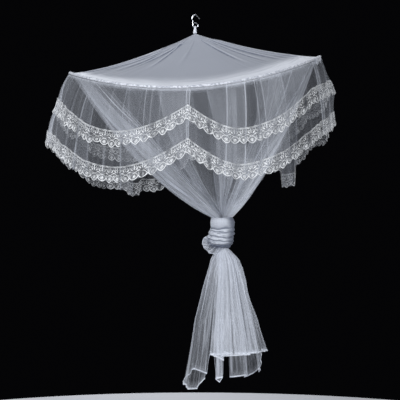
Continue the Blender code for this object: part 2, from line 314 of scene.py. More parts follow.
def roof_look():
    look = Look("roof_cloth")
    weave = 1 - look.cells(ROOF_HOLE, flat=False).ramp(0.02, 0.25)
    cloud = look.noise(5.0, 3.0)
    drawn = look.noise(DRAWN_STREAKS, 3.0, flat=True)
    # the "shade" number brings the paler doubled hem and painted highlights and shade on the roof
    pale = look.attribute("shade")
    blend = cloud.between(0.21, 0.29) + 0.04 * weave + pale * drawn.between(0.10, 1.90)
    look.set(Base_Color=look.mix(blend.at_most(1.0), *COLOURS["roof"]))
    look.set(Roughness=weave.between(0.75, 0.90))
    look.set(Sheen_Weight=0.2, Specular_IOR_Level=0.3)
    look.bump(weave, 0.25, 0.0003)
    return look.material


def tape_look():
    look = Look("tape_cloth")
    ribs = look.noise(700.0, 1.0)
    wide = look.noise(130.0, 3.0).ramp(0.35, 0.65)
    look.set(Base_Color=look.mix(wide, *COLOURS["tape"]))
    look.set(Roughness=ribs.between(0.75, 0.95))
    look.set(Sheen_Weight=0.25, Specular_IOR_Level=0.3)
    look.set(Alpha=look.attribute("cover").at_most(1.0))
    look.bump(ribs, 0.4, 0.0004)
    return look.material


print("cloth finishes ready")


# %% Hard finishes
def steel_look():
    look = Look("hook_steel")
    drawn = look.noise((60.0, 60.0, 900.0))
    worn = look.noise(240.0, 3.0)
    look.set(Base_Color=look.mix(drawn, *COLOURS["steel"]))
    look.set(Roughness=worn.between(0.18, 0.40))
    look.set(Metallic=1.0)
    look.bump(drawn, 0.1, 0.0002)
    return look.material


def rod_look():
    look = Look("rod_plastic")
    flow = look.noise(30.0)
    scuff = look.noise(400.0)
    look.set(Base_Color=look.mix(flow, *COLOURS["rod"]))
    look.set(Roughness=scuff.between(0.32, 0.57))
    look.bump(scuff, 0.08, 0.0002)
    return look.material


def floor_look():
    look = Look("pale_floor")
    cloud = look.noise(1.5, 3.0)
    look.set(Base_Color=look.mix(cloud, *COLOURS["floor"]))
    look.set(Roughness=cloud.between(0.80, 0.90))
    return look.material


LOOKS = {
    "net": net_look(),
    "lace": lace_look(),
    "roof_cloth": roof_look(),
    "tape_cloth": tape_look(),
    "hook_steel": steel_look(),
    "rod_plastic": rod_look(),
}
print("finishes:", sorted(LOOKS))

# %% The floor
FLOOR_LEVEL = -1.90
FLOOR_RADIUS = 2.45
FLOOR_SIDES = 96


def add_floor():
    shape = bmesh.new()
    bmesh.ops.create_circle(shape, cap_ends=True, radius=FLOOR_RADIUS, segments=FLOOR_SIDES)
    for vertex in shape.verts:
        vertex.co.z = FLOOR_LEVEL
    mesh = bpy.data.meshes.new("floor")
    shape.to_mesh(mesh)
    shape.free()
    mesh.materials.append(floor_look())
    floor = bpy.data.objects.new("floor", mesh)
    scene.collection.objects.link(floor)


add_floor()
print("floor level", FLOOR_LEVEL)

# %% [markdown]
# ## The rim
# The hoop is sprung and light, so its rim isn't flat: both ends stand up, the front sags more
# than the back, and the right end is a little higher. One formula gives the height at an angle,
# and every sheet below asks it where the rim is.

# %% The rim
RIM_RADIUS = 0.500
RIM_LEVEL = -0.249
RIM_ROLL = 0.0325
RIM_PITCH = 0.038
RIM_SADDLE = 0.047
CASING_HALF = 0.0050
CASING_SHOULDER = 0.0026
CASING_CROWN = 0.0058
CASING_LEG = 0.010
SHEET = 0.0012
GAP = 0.0003  # between one piece and the next


def around(angle):
    return Vector((math.cos(angle), math.sin(angle), 0.0))


def rim_height(angle):
    tilt = RIM_ROLL * math.cos(angle) + RIM_PITCH * math.sin(angle)
    return RIM_LEVEL + tilt + RIM_SADDLE * math.cos(2 * angle)


def rim_point(angle, outward=0.0, up=0.0):
    point = around(angle) * (RIM_RADIUS + outward)
    point.z = rim_height(angle) + up
    return point


print("rim from", round(rim_height(math.pi), 3), "to", round(rim_height(0.0), 3))

# %% [markdown]
# ## One way to make a sheet
# Every cloth here is a grid: columns run along the hoop and rows run down the cloth. A station
# function says where each crossing hangs, how dense the cloth is there, and where the same point
# lay on the flat cloth, which the weave follows. It may add a shade: painted light and shade that
# make the cloth paler and darker in places. Crossings that meet are welded.


# %% Sheet maker
WELD = 1e-6


def add_piece(name, mesh, slot):
    mesh.materials.clear()
    mesh.materials.append(LOOKS[slot])
    piece = bpy.data.objects.new(name, mesh)
    scene.collection.objects.link(piece)
    return piece


def keep_numbers(mesh, name, values):
    """Keep one number for each point, which the finish can read."""
    mesh.attributes.new(name, "FLOAT", "POINT").data.foreach_set("value", values)


def keep_flat(mesh, flats):
    """Keep where each point lay on the flat cloth, as the piece's own UV map."""
    layer = mesh.uv_layers.new(name="flat")
    for corner in mesh.loops:
        layer.data[corner.index].uv = flats[corner.vertex_index]


def cloth_sheet(name, columns, rows, station, slot, turned=False):
    places, covers, flats, shades = [], [], [], []
    for row in range(rows + 1):
        for column in range(columns + 1):
            place, cover, flat, *shade = station(column, row)
            places.append(place)
            covers.append(cover)
            flats.append(flat)
            shades.append(shade[0] if shade else 0.0)
    faces = []
    for row in range(rows):
        for column in range(columns):
            first = row * (columns + 1) + column
            below = first + columns + 1
            face = (first, below, below + 1, first + 1)
            faces.append(face[::-1] if turned else face)
    mesh = bpy.data.meshes.new(name)
    mesh.from_pydata(places, [], faces)
    keep_numbers(mesh, "cover", covers)
    keep_numbers(mesh, "shade", shades)
    keep_flat(mesh, flats)
    shape = bmesh.new()
    shape.from_mesh(mesh)
    bmesh.ops.remove_doubles(shape, verts=shape.verts, dist=WELD)
    shape.to_mesh(mesh)
    shape.free()
    mesh.shade_smooth()
    return add_piece(name, mesh, slot)


def stand_for(piece, node):
    """The piece moves with the body and shows in place of a solid."""
    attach(piece, "root")
    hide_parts(node)


def area_of(piece):
    return sum(polygon.area for polygon in piece.data.polygons)


print("sheet maker ready")


# %% Smooth steps, bumps and noise
def steps_between(stops, shares, value):
    """The share that belongs to a value, on straight lines between the stops."""
    if value <= stops[0]:
        return shares[0]
    for low, high, first, last in zip(stops, stops[1:], shares, shares[1:]):
        if value <= high:
            return first + (last - first) * (value - low) / (high - low)
    return shares[-1]


def bump_at(value, middle, reach):
    return math.exp(-(((value - middle) / reach) ** 2))


def smooth_step(share):
    share = min(max(share, 0.0), 1.0)
    return share * share * (3 - 2 * share)


def sag(share):
    """Nothing at both ends and 1 in the middle, as a slack cloth hangs."""
    return 4 * share * (1 - share)


def grain(x, y, z):
    """Smooth noise from -1 to 1, the same on each run."""
    return noise.noise(Vector((x, y, z)))


def ring_grain(angle, count, z):
    """Noise that closes on itself round the rim; count says how many waves it has."""
    return grain(count * math.cos(angle), count * math.sin(angle), z)


print("half way up a smooth step:", smooth_step(0.5))

# %% [markdown]
# ## Hook and hoop
# The wire hook and the hoop's rod have the right shape already. They keep their solids and only
# get a better finish: drawn steel on the hook, slightly scuffed plastic on the rod.

# %% Hook and hoop
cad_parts["hook"].material_slots[0].material = LOOKS["hook_steel"]
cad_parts["hoop"].material_slots[0].material = LOOKS["rod_plastic"]

# %% [markdown]
# ## The tab
# A folded strip of tape goes up in front of the hook's foot, over the wire and down behind. It
# is sewn to the tip of the roof, so it widens a little towards the foot.

# %% The tab
HOOK_FOOT = -0.04825
APEX_HEIGHT = -0.0755
WIRE_RADIUS = 0.00175
TAB_TOP_WIDTH = 0.008
TAB_FOOT_WIDTH = 0.015
TAB_THICKNESS = 0.0008
TAB_STAND_OFF = 0.0009  # from the wire to the middle of the tape
TAB_FOOT_LIFT = 0.0006
TAB_CREASE = 0.0006
TAB_CREASE_TURN = 14  # radians of crease across the tape
TAB_PINCH = 0.3  # share of its depth that the tab loses at its foot
TAB_COLUMNS = 8
TAB_BEND_ROWS = 14  # in the half turn over the wire
TAB_LEG_ROWS = 8
TAB_ROW = 0.002  # flat length of a row


def tab_station(column, row):
    reach = WIRE_RADIUS + TAB_STAND_OFF
    foot = APEX_HEIGHT + TAB_FOOT_LIFT
    turn = math.pi * min(max((row - TAB_LEG_ROWS) / TAB_BEND_ROWS, 0.0), 1.0)
    leg = max(TAB_LEG_ROWS - row, row - TAB_LEG_ROWS - TAB_BEND_ROWS, 0) / TAB_LEG_ROWS
    z = HOOK_FOOT + reach * math.sin(turn) - leg * (HOOK_FOOT - foot)
    width = TAB_TOP_WIDTH + (TAB_FOOT_WIDTH - TAB_TOP_WIDTH) * smooth_step(leg)
    across = column / TAB_COLUMNS - 0.5
    y = -reach * math.cos(turn)
    crease = TAB_CREASE * math.cos(across * TAB_CREASE_TURN) * (1 - leg)
    y = (y + math.copysign(crease, y)) * (1 - TAB_PINCH * leg)
    return Vector((across * width, y, z)), 1.0, (across * width, row * TAB_ROW)


def make_tab():
    rows = TAB_BEND_ROWS + 2 * TAB_LEG_ROWS
    tab = cloth_sheet("tab_strip", TAB_COLUMNS, rows, tab_station, "tape_cloth")
    solid = tab.modifiers.new("thickness", "SOLIDIFY")
    solid.thickness = TAB_THICKNESS
    solid.offset = 0.0
    stand_for(tab, "tab")
    print("tab area", round(area_of(tab), 5))


make_tab()

# %% [markdown]
# ## The roof
# One round sheet is drawn from the rim up to the tab. It hangs in a shallow bowl between the two,
# and pulls into fine straight wrinkles towards the two high ends of the rim, where the strain is.

# %% The roof
ROOF_POWER = 1.4
ROOF_SAG = 0.008
ROOF_PUCKER = 0.004
ROOF_PUCKERS = 18
TIP_GATHER = 0.0035  # short gathers where the cloth is tied under the tab
TIP_GATHERS = 26
TIP_REACH = 0.10
ROOF_COLUMNS = 720
ROOF_ROWS = 56
ROOF_ROW_LAW = 1.25  # above 1 the rows lie closer near the tip
ROOF_WRINKLES = table(  # degrees near the tip and at the rim, half width, height, start and end
    "tip rim width height start end",
    (150.0, 160.0, 1.6, 0.0045, 0.08, 0.95),
    (176.0, 168.0, 1.6, 0.0045, 0.12, 0.95),
    (200.0, 175.0, 1.5, 0.0045, 0.16, 1.00),
    (216.0, 180.0, 1.6, 0.0050, 0.20, 1.00),
    (227.0, 185.0, 1.6, 0.0050, 0.20, 1.00),
    (232.0, 191.0, 1.6, 0.0045, 0.18, 0.90),
    (234.0, 201.0, 1.5, 0.0042, 0.14, 0.80),
    (230.0, 211.0, 1.5, 0.0052, 0.09, 0.60),
    (222.0, 229.0, 1.5, 0.0045, 0.06, 0.58),
    (262.0, 250.0, 3.0, 0.0020, 0.05, 0.45),
    (303.0, 316.0, 1.5, 0.0045, 0.05, 0.60),
    (322.0, 326.0, 1.5, 0.0035, 0.08, 0.75),
    (334.0, 334.0, 1.6, 0.0045, 0.08, 0.80),
    (342.0, 341.0, 1.8, 0.0042, 0.12, 0.95),
    (351.0, 347.0, 1.6, 0.0045, 0.12, 1.00),
    (361.0, 353.0, 1.6, 0.0045, 0.12, 1.00),
    (372.0, 359.0, 1.5, 0.0045, 0.12, 1.00),
    (384.0, 366.0, 2.0, 0.0040, 0.12, 0.90),
)
WRINKLE_SHARE = 0.12  # where a wrinkle leaves the direction it has near the tip
WRINKLE_NARROWS = 0.35  # share of its width that a wrinkle loses on the way to the rim
WRINKLE_RISE = 0.10  # share of the roof in which a wrinkle starts, and in which it ends
WRINKLE_FALL = 0.30
WRINKLE_TAIL = 0.04
WRINKLE_SIGHT = 4  # half widths away, where nothing of it is left
ROOF_HEM_ANGLES = (0, 60, 150, 180, 215, 240, 265, 300, 340, 360)
ROOF_HEMS = (0.80, 0.80, 0.88, 0.90, 0.80, 0.64, 0.60, 0.64, 0.74, 0.80)  # where it gets paler
HEM_END = 0.97
HEM_SPEED = 1.25  # above 1 it is palest before the rim
# the doubled hem is denser cloth and is also painted paler, as painted light
HEM_PALE = 0.80
GROOVE = 0.028  # radians from the ridge of a wrinkle to its groove, which gets painted shade
WRINKLE_LIGHT_AND_SHADE = 75  # painted highlight on a ridge against painted shade in its groove, per metre of height between
# painted light and shade of fine tension lines near both ends of the rim
STRAIN_LIGHT_AND_SHADE = 0.35
STRAIN_LINES = 34


def wrinkle_height(angle, share):
    degrees = math.degrees(angle)
    near = WRINKLE_SHARE / max(share, WRINKLE_SHARE)  # a straight fold as seen from the tip
    height = 0.0
    for wrinkle in ROOF_WRINKLES:
        middle = wrinkle["rim"] + (wrinkle["tip"] - wrinkle["rim"]) * near
        off = (degrees - middle + 180) % 360 - 180
        width = wrinkle["width"] * (1.0 - WRINKLE_NARROWS * share)
        if abs(off) > WRINKLE_SIGHT * width:
            continue
        fade = smooth_step((share - wrinkle["start"]) / WRINKLE_RISE)
        fade *= smooth_step((wrinkle["end"] + WRINKLE_TAIL - share) / WRINKLE_FALL)
        height += wrinkle["height"] * bump_at(off, 0.0, width) * fade
    return height


def roof_height(angle, share):
    rise = (1 - share) ** ROOF_POWER
    height = rim_height(angle) * (1 - rise) + APEX_HEIGHT * rise
    height -= ROOF_SAG * sag(share)
    puckers = math.cos(ROOF_PUCKERS * angle) * math.cos(angle) ** 2  # at both ends of the rim
    height += ROOF_PUCKER * puckers * share * (1 - share)
    gathers = TIP_GATHER * math.cos(TIP_GATHERS * angle + 2 * math.sin(3 * angle))
    gathers *= share * math.exp(-share / TIP_REACH)
    return height + wrinkle_height(angle, share) + gathers


print("roof at half its radius:", round(roof_height(math.radians(270), 0.5), 3))


# %% The roof sheet
def roof_hem_and_painted_light(angle, share):
    """Painted light and shade: a denser hem painted paler, lit and shaded wrinkles and strain
    lines.
    """
    hem = steps_between(ROOF_HEM_ANGLES, ROOF_HEMS, math.degrees(angle))
    pale = HEM_PALE * smooth_step((share - hem) / (HEM_END - hem) * HEM_SPEED)
    # painted light and shade along fine tension lines near both ends of the rim
    painted_strain_lines = grain(angle * STRAIN_LINES, share * 1.5, 0.0) * math.cos(angle) ** 4
    pale += STRAIN_LIGHT_AND_SHADE * painted_strain_lines * smooth_step(share * 3) * (1 - pale)
    # painted highlight on each wrinkle's ridge and painted shade in the groove beside it
    shaded_side = angle - math.copysign(GROOVE, -math.cos(angle))
    return pale + WRINKLE_LIGHT_AND_SHADE * (wrinkle_height(angle, share) - wrinkle_height(shaded_side, share))


def roof_station(column, row):
    edge = RIM_RADIUS - CASING_HALF - GAP
    share = (row / ROOF_ROWS) ** ROOF_ROW_LAW
    angle = 2 * math.pi * column / ROOF_COLUMNS
    point = around(angle) * edge * share
    point.z = roof_height(angle, share)
    return point, 1.0, (angle * edge, share * edge), roof_hem_and_painted_light(angle, share)


def make_roof():
    roof = cloth_sheet("roof_sheet", ROOF_COLUMNS, ROOF_ROWS, roof_station, "roof_cloth")
    stand_for(roof, "roof")
    print("roof area", round(area_of(roof), 3))


make_roof()

# %% [markdown]
# ## The rim band and its stitches
# A strip of white tape is folded over the rod and sewn together just below it, with the roof and
# both nets caught in the seam. The tape puckers between the stitches. Geometry Nodes lay the
# stitches: one short stitch is repeated along a line that follows the rim.

# %% The rim band
BAND_COLUMNS = 720
BAND_ROW = 0.004  # flat width of a row
BAND_CROWN = 4  # the row on top of the rod
BAND_PROFILE = (  # outward, up, cover; below the rod the tape is one thin layer
    (-CASING_HALF, -CASING_LEG, 0.10),
    (-CASING_HALF, -0.0040, 0.30),
    (-CASING_HALF, CASING_SHOULDER, 1.0),
    (-0.0030, 0.0048, 0.75),
    (0.0, CASING_CROWN, 0.95),
    (0.0030, 0.0048, 1.0),
    (CASING_HALF, CASING_SHOULDER, 1.0),
    (CASING_HALF, -0.0016, 0.90),
    (CASING_HALF, -0.0034, 0.22),
    (CASING_HALF, -CASING_LEG, 0.06),
)
BUNCHES = table(  # degrees, half width in degrees, how far the tape swells
    "angle width swell",
    (339.5, 2.6, 0.0090),
    (345.0, 1.8, 0.0070),
    (186.0, 1.6, 0.0016),
)
PUCKER = 0.0012
PUCKERS = 60
CRUMPLE_COVER = 0.004  # a swell of this height is as dense as doubled cloth
CRUMPLE_OUT = 0.6  # shares of a swell that go sideways, down at the crown and down on the legs
CRUMPLE_CROWN = 0.1
CRUMPLE_LEG = 1.3
LEG_ROWS = 2  # rows further than this from the crown are on a leg


def band_station(column, row):
    angle = 2 * math.pi * column / BAND_COLUMNS
    degrees = math.degrees(angle)
    outward, up, cover = BAND_PROFILE[row]
    pucker = PUCKER * ring_grain(angle, PUCKERS, 0.1 * row * PUCKERS)
    swell = 0.0
    for bunch in BUNCHES:
        swell += bunch["swell"] * bump_at(degrees, bunch["angle"], bunch["width"])
    cover = min(max(cover, swell / CRUMPLE_COVER), 1.0)
    swell *= 1 + 0.5 * math.sin(degrees * 1.7 + row * 1.9)
    from_crown = row - BAND_CROWN
    side = math.copysign(1.0, from_crown) if from_crown else 0.0
    outward += side * (pucker + CRUMPLE_OUT * swell)
    up += pucker - swell * (CRUMPLE_LEG if abs(from_crown) > LEG_ROWS else CRUMPLE_CROWN)
    return rim_point(angle, outward, up), cover, (angle * RIM_RADIUS, row * BAND_ROW)


def make_band():
    rows = len(BAND_PROFILE) - 1
    band = cloth_sheet("rim_band", BAND_COLUMNS, rows, band_station, "tape_cloth", turned=True)
    stand_for(band, "casing")
    print("band area", round(area_of(band), 4))


make_band()

# %% Helpers for trees of geometry nodes
def node_in(tree, kind, settings=None, **values):
    """Add a node; a value that is another node's output is linked."""
    made = tree.nodes.new(kind)
    for key, value in (settings or {}).items():
        setattr(made, key, value)
    for name, value in values.items():
        socket = made.inputs[name.replace("_", " ")]
        if isinstance(value, bpy.types.NodeSocket):
            tree.links.new(value, socket)
        else:
            socket.default_value = value
    return made


def start_tree(name, **numbers):
    """A tree that takes geometry, the named numbers and a thread's finish."""
    tree = bpy.data.node_groups.new(name, "GeometryNodeTree")
    tree.interface.new_socket("Geometry", in_out="INPUT", socket_type="NodeSocketGeometry")
    for label, value in numbers.items():
        kind = "NodeSocketInt" if isinstance(value, int) else "NodeSocketFloat"
        socket = tree.interface.new_socket(label, in_out="INPUT", socket_type=kind)
        socket.default_value = value
    tree.interface.new_socket("Thread", in_out="INPUT", socket_type="NodeSocketMaterial")
    tree.interface.new_socket("Geometry", in_out="OUTPUT", socket_type="NodeSocketGeometry")
    return tree, tree.nodes.new("NodeGroupInput").outputs


def finish_tree(tree, entry, spread):
    """Make the copies real, give them the thread's finish and hand them out."""
    real = node_in(tree, "GeometryNodeRealizeInstances", Geometry=spread.outputs[0])
    dyed = node_in(tree, "GeometryNodeSetMaterial", Geometry=real.outputs[0],
                   Material=entry["Thread"])
    node_in(tree, "NodeGroupOutput", Geometry=dyed.outputs[0])


def grown(name, base, tree, **values):
    """A plain mesh of what the tree makes from the base mesh, in lace thread."""
    carrier = bpy.data.objects.new(name + "_carrier", base)
    modifier = carrier.modifiers.new("nodes", "NODES")
    modifier.node_group = tree
    values["Thread"] = LOOKS["lace"]
    for socket in tree.interface.items_tree:
        if socket.name in values:
            modifier[socket.identifier] = values[socket.name]
    scene.collection.objects.link(carrier)
    bpy.context.view_layer.update()
    graph = bpy.context.evaluated_depsgraph_get()
    mesh = bpy.data.meshes.new_from_object(carrier.evaluated_get(graph))
    bpy.data.objects.remove(carrier)
    mesh.name = name
    return add_piece(name, mesh, "lace")


print("tree helpers ready")

# %% Stitches along the rim
STITCHES = 560
STITCH_LENGTH = 0.0032
STITCH_THICKNESS = 0.0007
SEAM_OUT = 0.0004  # off the band's side
SEAM_UP = -0.0012
SEAM_POINTS = 720


def stitches_tree():
    """Repeat one small stitch along the line that comes in."""
    tree, entry = start_tree("stitches_on_a_line", Count=100, Length=0.003, Thickness=0.0006)
    line = node_in(tree, "GeometryNodeMeshToCurve", Mesh=entry["Geometry"])
    even = node_in(tree, "GeometryNodeResampleCurve", Curve=line.outputs[0],
                   Count=entry["Count"])
    tangent = node_in(tree, "GeometryNodeInputTangent")
    turn = node_in(tree, "FunctionNodeAlignRotationToVector", {"axis": "X"},
                   Vector=tangent.outputs[0])
    size = node_in(tree, "ShaderNodeCombineXYZ", X=entry["Length"], Y=entry["Thickness"],
                   Z=entry["Thickness"])
    stitch = node_in(tree, "GeometryNodeMeshIcoSphere", Radius=0.5, Subdivisions=1)
    shaped = node_in(tree, "GeometryNodeTransform", Geometry=stitch.outputs[0],
                     Scale=size.outputs[0])
    spread = node_in(tree, "GeometryNodeInstanceOnPoints", Points=even.outputs[0],
                     Instance=shaped.outputs[0], Rotation=turn.outputs[0])
    finish_tree(tree, entry, spread)
    return tree


def make_stitches():
    line = bpy.data.meshes.new("seam_line")
    places = []
    for index in range(SEAM_POINTS):
        angle = 2 * math.pi * index / SEAM_POINTS
        places.append(rim_point(angle, CASING_HALF + SEAM_OUT, SEAM_UP))
    edges = [(index, (index + 1) % SEAM_POINTS) for index in range(SEAM_POINTS)]
    line.from_pydata(places, edges, [])
    stitches = grown("rim_stitches", line, stitches_tree(), Count=STITCHES,
                     Length=STITCH_LENGTH, Thickness=STITCH_THICKNESS)
    keep_numbers(stitches.data, "cover", [1.0] * len(stitches.data.vertices))
    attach(stitches, "root")
    print("stitch faces", len(stitches.data.polygons))


make_stitches()

# %% [markdown]
# ## Folded cloth as a path
# Soft net that is gathered by hand doesn't ripple evenly. It lies in smooth panels, and where
# one panel laps over the next there are three layers and a bright edge. So the columns of a
# net are read from a table of fold edges. Between two edges the cloth goes across once, or
# across, back and across again. Each edge has its own angle at the rim and further down.

# %% The path along folded cloth
LAYER_STEP = 0.0026
EDGE_REACH = 0.0035  # how far from a fold the threads crowd
EDGE_SHARE = 0.2  # the most of a panel that this may take up
CREASE_REACH = 0.55  # share of that reach in which the bright line fades


def cloth_path(edges, spacing):
    """Columns along the cloth, with the panel, the share across it, the layer and the crease."""
    path = []
    along = 0.0
    for index, (edge, following) in enumerate(zip(edges, edges[1:])):
        width = math.radians(following["angles"][0] - edge["angles"][0]) * RIM_RADIUS
        steps = max(round(width / spacing), 2)
        near = min(EDGE_REACH / width, EDGE_SHARE)
        shares = [0.0, near / 2, near, 1.0 - near, 1.0 - near / 2, 1.0]
        shares += [near + (1 - 2 * near) * step / steps for step in range(1, steps)]
        shares.sort()
        for layer in range(edge["layers"]):
            passing = shares if layer % 2 == 0 else shares[::-1]
            last = passing[0]
            for share in passing:
                along += abs(share - last) * width
                last = share
                crease = max(edge["line"] * bump_at(share, 0.0, near * CREASE_REACH),
                             following["line"] * bump_at(share, 1.0, near * CREASE_REACH))
                path.append({"panel": index, "share": share, "layer": layer,
                             "crease": crease, "along": along})
    return path


def path_angle(edges, column, levels, level):
    """The angle of a column at a level, in radians."""
    angles = []
    for edge in (edges[column["panel"]], edges[column["panel"] + 1]):
        angles.append(steps_between(levels, edge["angles"], level))
    return math.radians(angles[0] + (angles[1] - angles[0]) * column["share"])


def layer_lift(column):
    """Each further layer lies behind the outer one."""
    return -LAYER_STEP * column["layer"]


print("path ready")

# %% [markdown]
# ## The valance net
# The valance is a long strip of net sewn into the rim band. Tapes draw it up at the peaks and
# it swags between them, flaring outwards as it falls. The heights follow the table of the solid
# model: pointed at each peak and round at each low point.

# %% The valance's shape
FESTOON = table(
    "angle drop step peak",
    (-35.0, 0.125, 0.140,  True),
    (0.0,   0.123, 0.124,  True),
    (29.0,  0.200, 0.128, False),
    (42.0,  0.258, 0.130, False),
    (92.5,  0.116, 0.159,  True),
    (109.5, 0.292, 0.128, False),
    (126.0, 0.292, 0.128, False),
    (139.0, 0.288, 0.128, False),
    (148.0, 0.226, 0.129, False),
    (176.0, 0.114, 0.130,  True),
    (208.0, 0.144, 0.130,  True),
    (237.0, 0.203, 0.131, False),
    (267.5, 0.095, 0.122,  True),
    (290.0, 0.203, 0.130, False),
)
LACE_WIDTH = 0.052
VALANCE_TOP = 0.006
FLARE = 0.078  # how far the foot stands out; at both ends of the rim less or more by the lean
FLARE_LEAN = 0.023
FLARE_REACH = 0.160
VALANCE_FOLDS = 17
VALANCE_FOLD_DEPTH = 0.011
VALANCE_FOLD_FRONT = 0.35  # folds are shallower in front and deeper behind, by this share
VALANCE_FOLD_GROWTH = (0.0, 0.4, 0.7, 0.7, 1.0, 1.0)  # from the top down to the lace's foot
RIPPLES = (0.0022, 0.0013)  # coarse and fine
DANGLE_EDGE = 1.2  # in half widths
DANGLE_SLOPE = 0.3
DANGLES = table(  # narrow folds of the back that hang below the rest
    "angle width extra",
    (44.5,  3.4, 0.075),
    (118.0, 2.7, 0.022),
)
RUFFLE_HEIGHT = 0.045
RUFFLES = table(  # near both ends of the rim: where, how wide, how far below the rim, how far out
    "angle width drop out",
    (356.0,  6.0, 0.135,  0.015),
    (182.0, 12.0, 0.120, -0.013),
)


def festoon(angle, column):
    """A column of the festoon's table at an angle, pointed at a peak and round at a low point."""
    start = FESTOON[0]["angle"]
    degrees = start + (math.degrees(angle) - start) % 360.0
    ends = FESTOON[1:] + ({**FESTOON[0], "angle": start + 360.0},)
    for row, following in zip(FESTOON, ends):
        if degrees <= following["angle"]:
            break
    share = (degrees - row["angle"]) / (following["angle"] - row["angle"])
    if row["peak"] and not following["peak"]:
        share = math.sin(share * math.pi / 2)
    elif following["peak"] and not row["peak"]:
        share = 1 - math.sin((1 - share) * math.pi / 2)
    return row[column] + (following[column] - row[column]) * share


def valance_drops(angle):
    """How far below the rim the top, the middle and the edges of both laces hang."""
    upper = festoon(angle, "drop")
    lower = upper + festoon(angle, "step")
    degrees = math.degrees(angle) % 360
    for dangle in DANGLES:
        off = abs(degrees - dangle["angle"]) / dangle["width"]
        lower += dangle["extra"] * smooth_step((DANGLE_EDGE - off) / DANGLE_SLOPE)
    half = LACE_WIDTH / 2
    return (VALANCE_TOP, upper / 2, upper - half, upper + half, lower - half, lower + half)


def valance_point(angle, drop, stand_off=0.0):
    hang = max(drop - VALANCE_TOP, 0.0)
    flare = (FLARE - FLARE_LEAN * math.cos(angle)) * (1 - math.exp(-hang / FLARE_REACH))
    wander = angle * VALANCE_FOLDS + 1.4 * math.sin(2 * angle) + 0.9 * math.sin(3 * angle + 1)
    deeper = 1 - VALANCE_FOLD_FRONT + VALANCE_FOLD_FRONT * math.sin(angle)
    growth = steps_between(valance_drops(angle), VALANCE_FOLD_GROWTH, drop)
    fold = VALANCE_FOLD_DEPTH * deeper * math.cos(wander) * growth
    coarse, fine = RIPPLES
    small = coarse * growth * math.sin(61 * angle + 3 * math.sin(4 * angle))
    small += fine * growth * math.sin(103 * angle + 2 * math.sin(7 * angle) + drop * 6)
    for ruffle in RUFFLES:
        near = bump_at(math.degrees(angle) % 360, ruffle["angle"], ruffle["width"])
        small += ruffle["out"] * near * bump_at(drop, ruffle["drop"], RUFFLE_HEIGHT)
    outward = CASING_HALF + GAP + SHEET + flare + fold + small + stand_off
    return rim_point(angle, outward, -drop)


print("front peak drop", round(valance_drops(math.radians(267.5))[2], 3))

# %% The valance net
VALANCE_ROWS = 46
VALANCE_HANG = 0.33  # metres from the rim down to the foot, roughly
VALANCE_LEVELS = (0.0, 0.30)  # metres below the rim, where the table gives the folds' angles
VALANCE_SPACING = 0.008
NET_COVER = 0.071  # of one flat layer
FOLD_COVER = 0.28
SEAM_COVER = 0.30
VALANCE_SEAM = 30  # the seam takes one part in this many of the net's height
CREASE_LIFT = 0.0022
GATHER_COVER = 0.25  # how much the gathers change the cover, and how many go round the rim
GATHER_WAVES = 9
MOST_COVER = 0.95
VALANCE_EDGES = table(  # degrees at both levels, bright line, layers up to the next edge
    "angles line layers",
    ((0.0, 0.0),      0.0, 1),
    ((14.0, 15.0),    0.5, 1),
    ((36.0, 39.5),    0.7, 3),
    ((50.0, 46.5),    0.7, 1),
    ((71.0, 72.0),    0.5, 3),
    ((77.0, 77.0),    0.5, 1),
    ((96.0, 97.0),    0.6, 1),
    ((117.0, 119.0),  0.8, 3),
    ((126.0, 124.0),  0.8, 1),
    ((143.0, 143.0),  0.5, 3),
    ((149.0, 150.0),  0.5, 1),
    ((168.0, 168.0),  0.6, 1),
    ((183.0, 183.0),  0.8, 3),
    ((187.0, 188.0),  0.5, 1),
    ((203.0, 203.0),  0.4, 1),
    ((208.5, 209.3),  0.4, 1),
    ((213.5, 213.7),  0.6, 1),
    ((217.6, 219.1),  0.4, 1),
    ((222.5, 222.0),  0.6, 1),
    ((235.0, 235.0),  0.6, 1),
    ((242.0, 250.0),  0.5, 1),
    ((250.0, 251.5),  0.9, 1),
    ((252.7, 253.7),  0.5, 1),
    ((256.5, 256.9),  0.6, 1),
    ((283.2, 281.2),  1.0, 3),
    ((291.2, 288.8),  0.8, 1),
    ((295.3, 295.9),  1.0, 1),
    ((298.4, 298.4),  0.4, 3),
    ((309.0, 309.0),  0.3, 1),
    ((322.0, 322.0),  0.5, 1),
    ((334.0, 334.5),  0.6, 3),
    ((337.0, 337.0),  0.3, 1),
    ((347.0, 347.0),  0.7, 1),
    ((360.0, 360.0),  0.0, 1),
)


def make_valance():
    path = cloth_path(VALANCE_EDGES, VALANCE_SPACING)

    def station(column, row):
        place = path[column]
        level = row / VALANCE_ROWS
        angle = path_angle(VALANCE_EDGES, place, VALANCE_LEVELS, VALANCE_HANG * level)
        drop = VALANCE_TOP + (valance_drops(angle)[-1] - VALANCE_TOP) * level
        lift = place["crease"] * CREASE_LIFT * smooth_step(level * 6)
        gather = 1.0 + GATHER_COVER * grain(angle * GATHER_WAVES, level, 0.0)
        ends = math.cos(angle) ** 8 * (1.4 - 0.6 * math.cos(angle))  # seen edge on at both ends
        cover = NET_COVER * gather * (1 + ends) + FOLD_COVER * place["crease"]
        cover += SEAM_COVER * (1 - smooth_step(level * VALANCE_SEAM))
        point = valance_point(angle, drop, layer_lift(place) + lift)
        return point, min(cover, MOST_COVER), (place["along"], drop)

    net = cloth_sheet("valance_net", len(path) - 1, VALANCE_ROWS, station, "net", turned=True)
    stand_for(net, "valance")
    print("valance columns", len(path), "area", round(area_of(net), 3))


make_valance()

# %% [markdown]
# ## One repeat of the lace
# The lace is a woven edging about five centimetres wide. From the top down it has a double
# line, a row of square holes, leaves, and a scallop with a small flower in it and a thick satin
# edge. One repeat is drawn flat with narrow raised strips for the threads, on a thin net
# ground. The holes stay open.

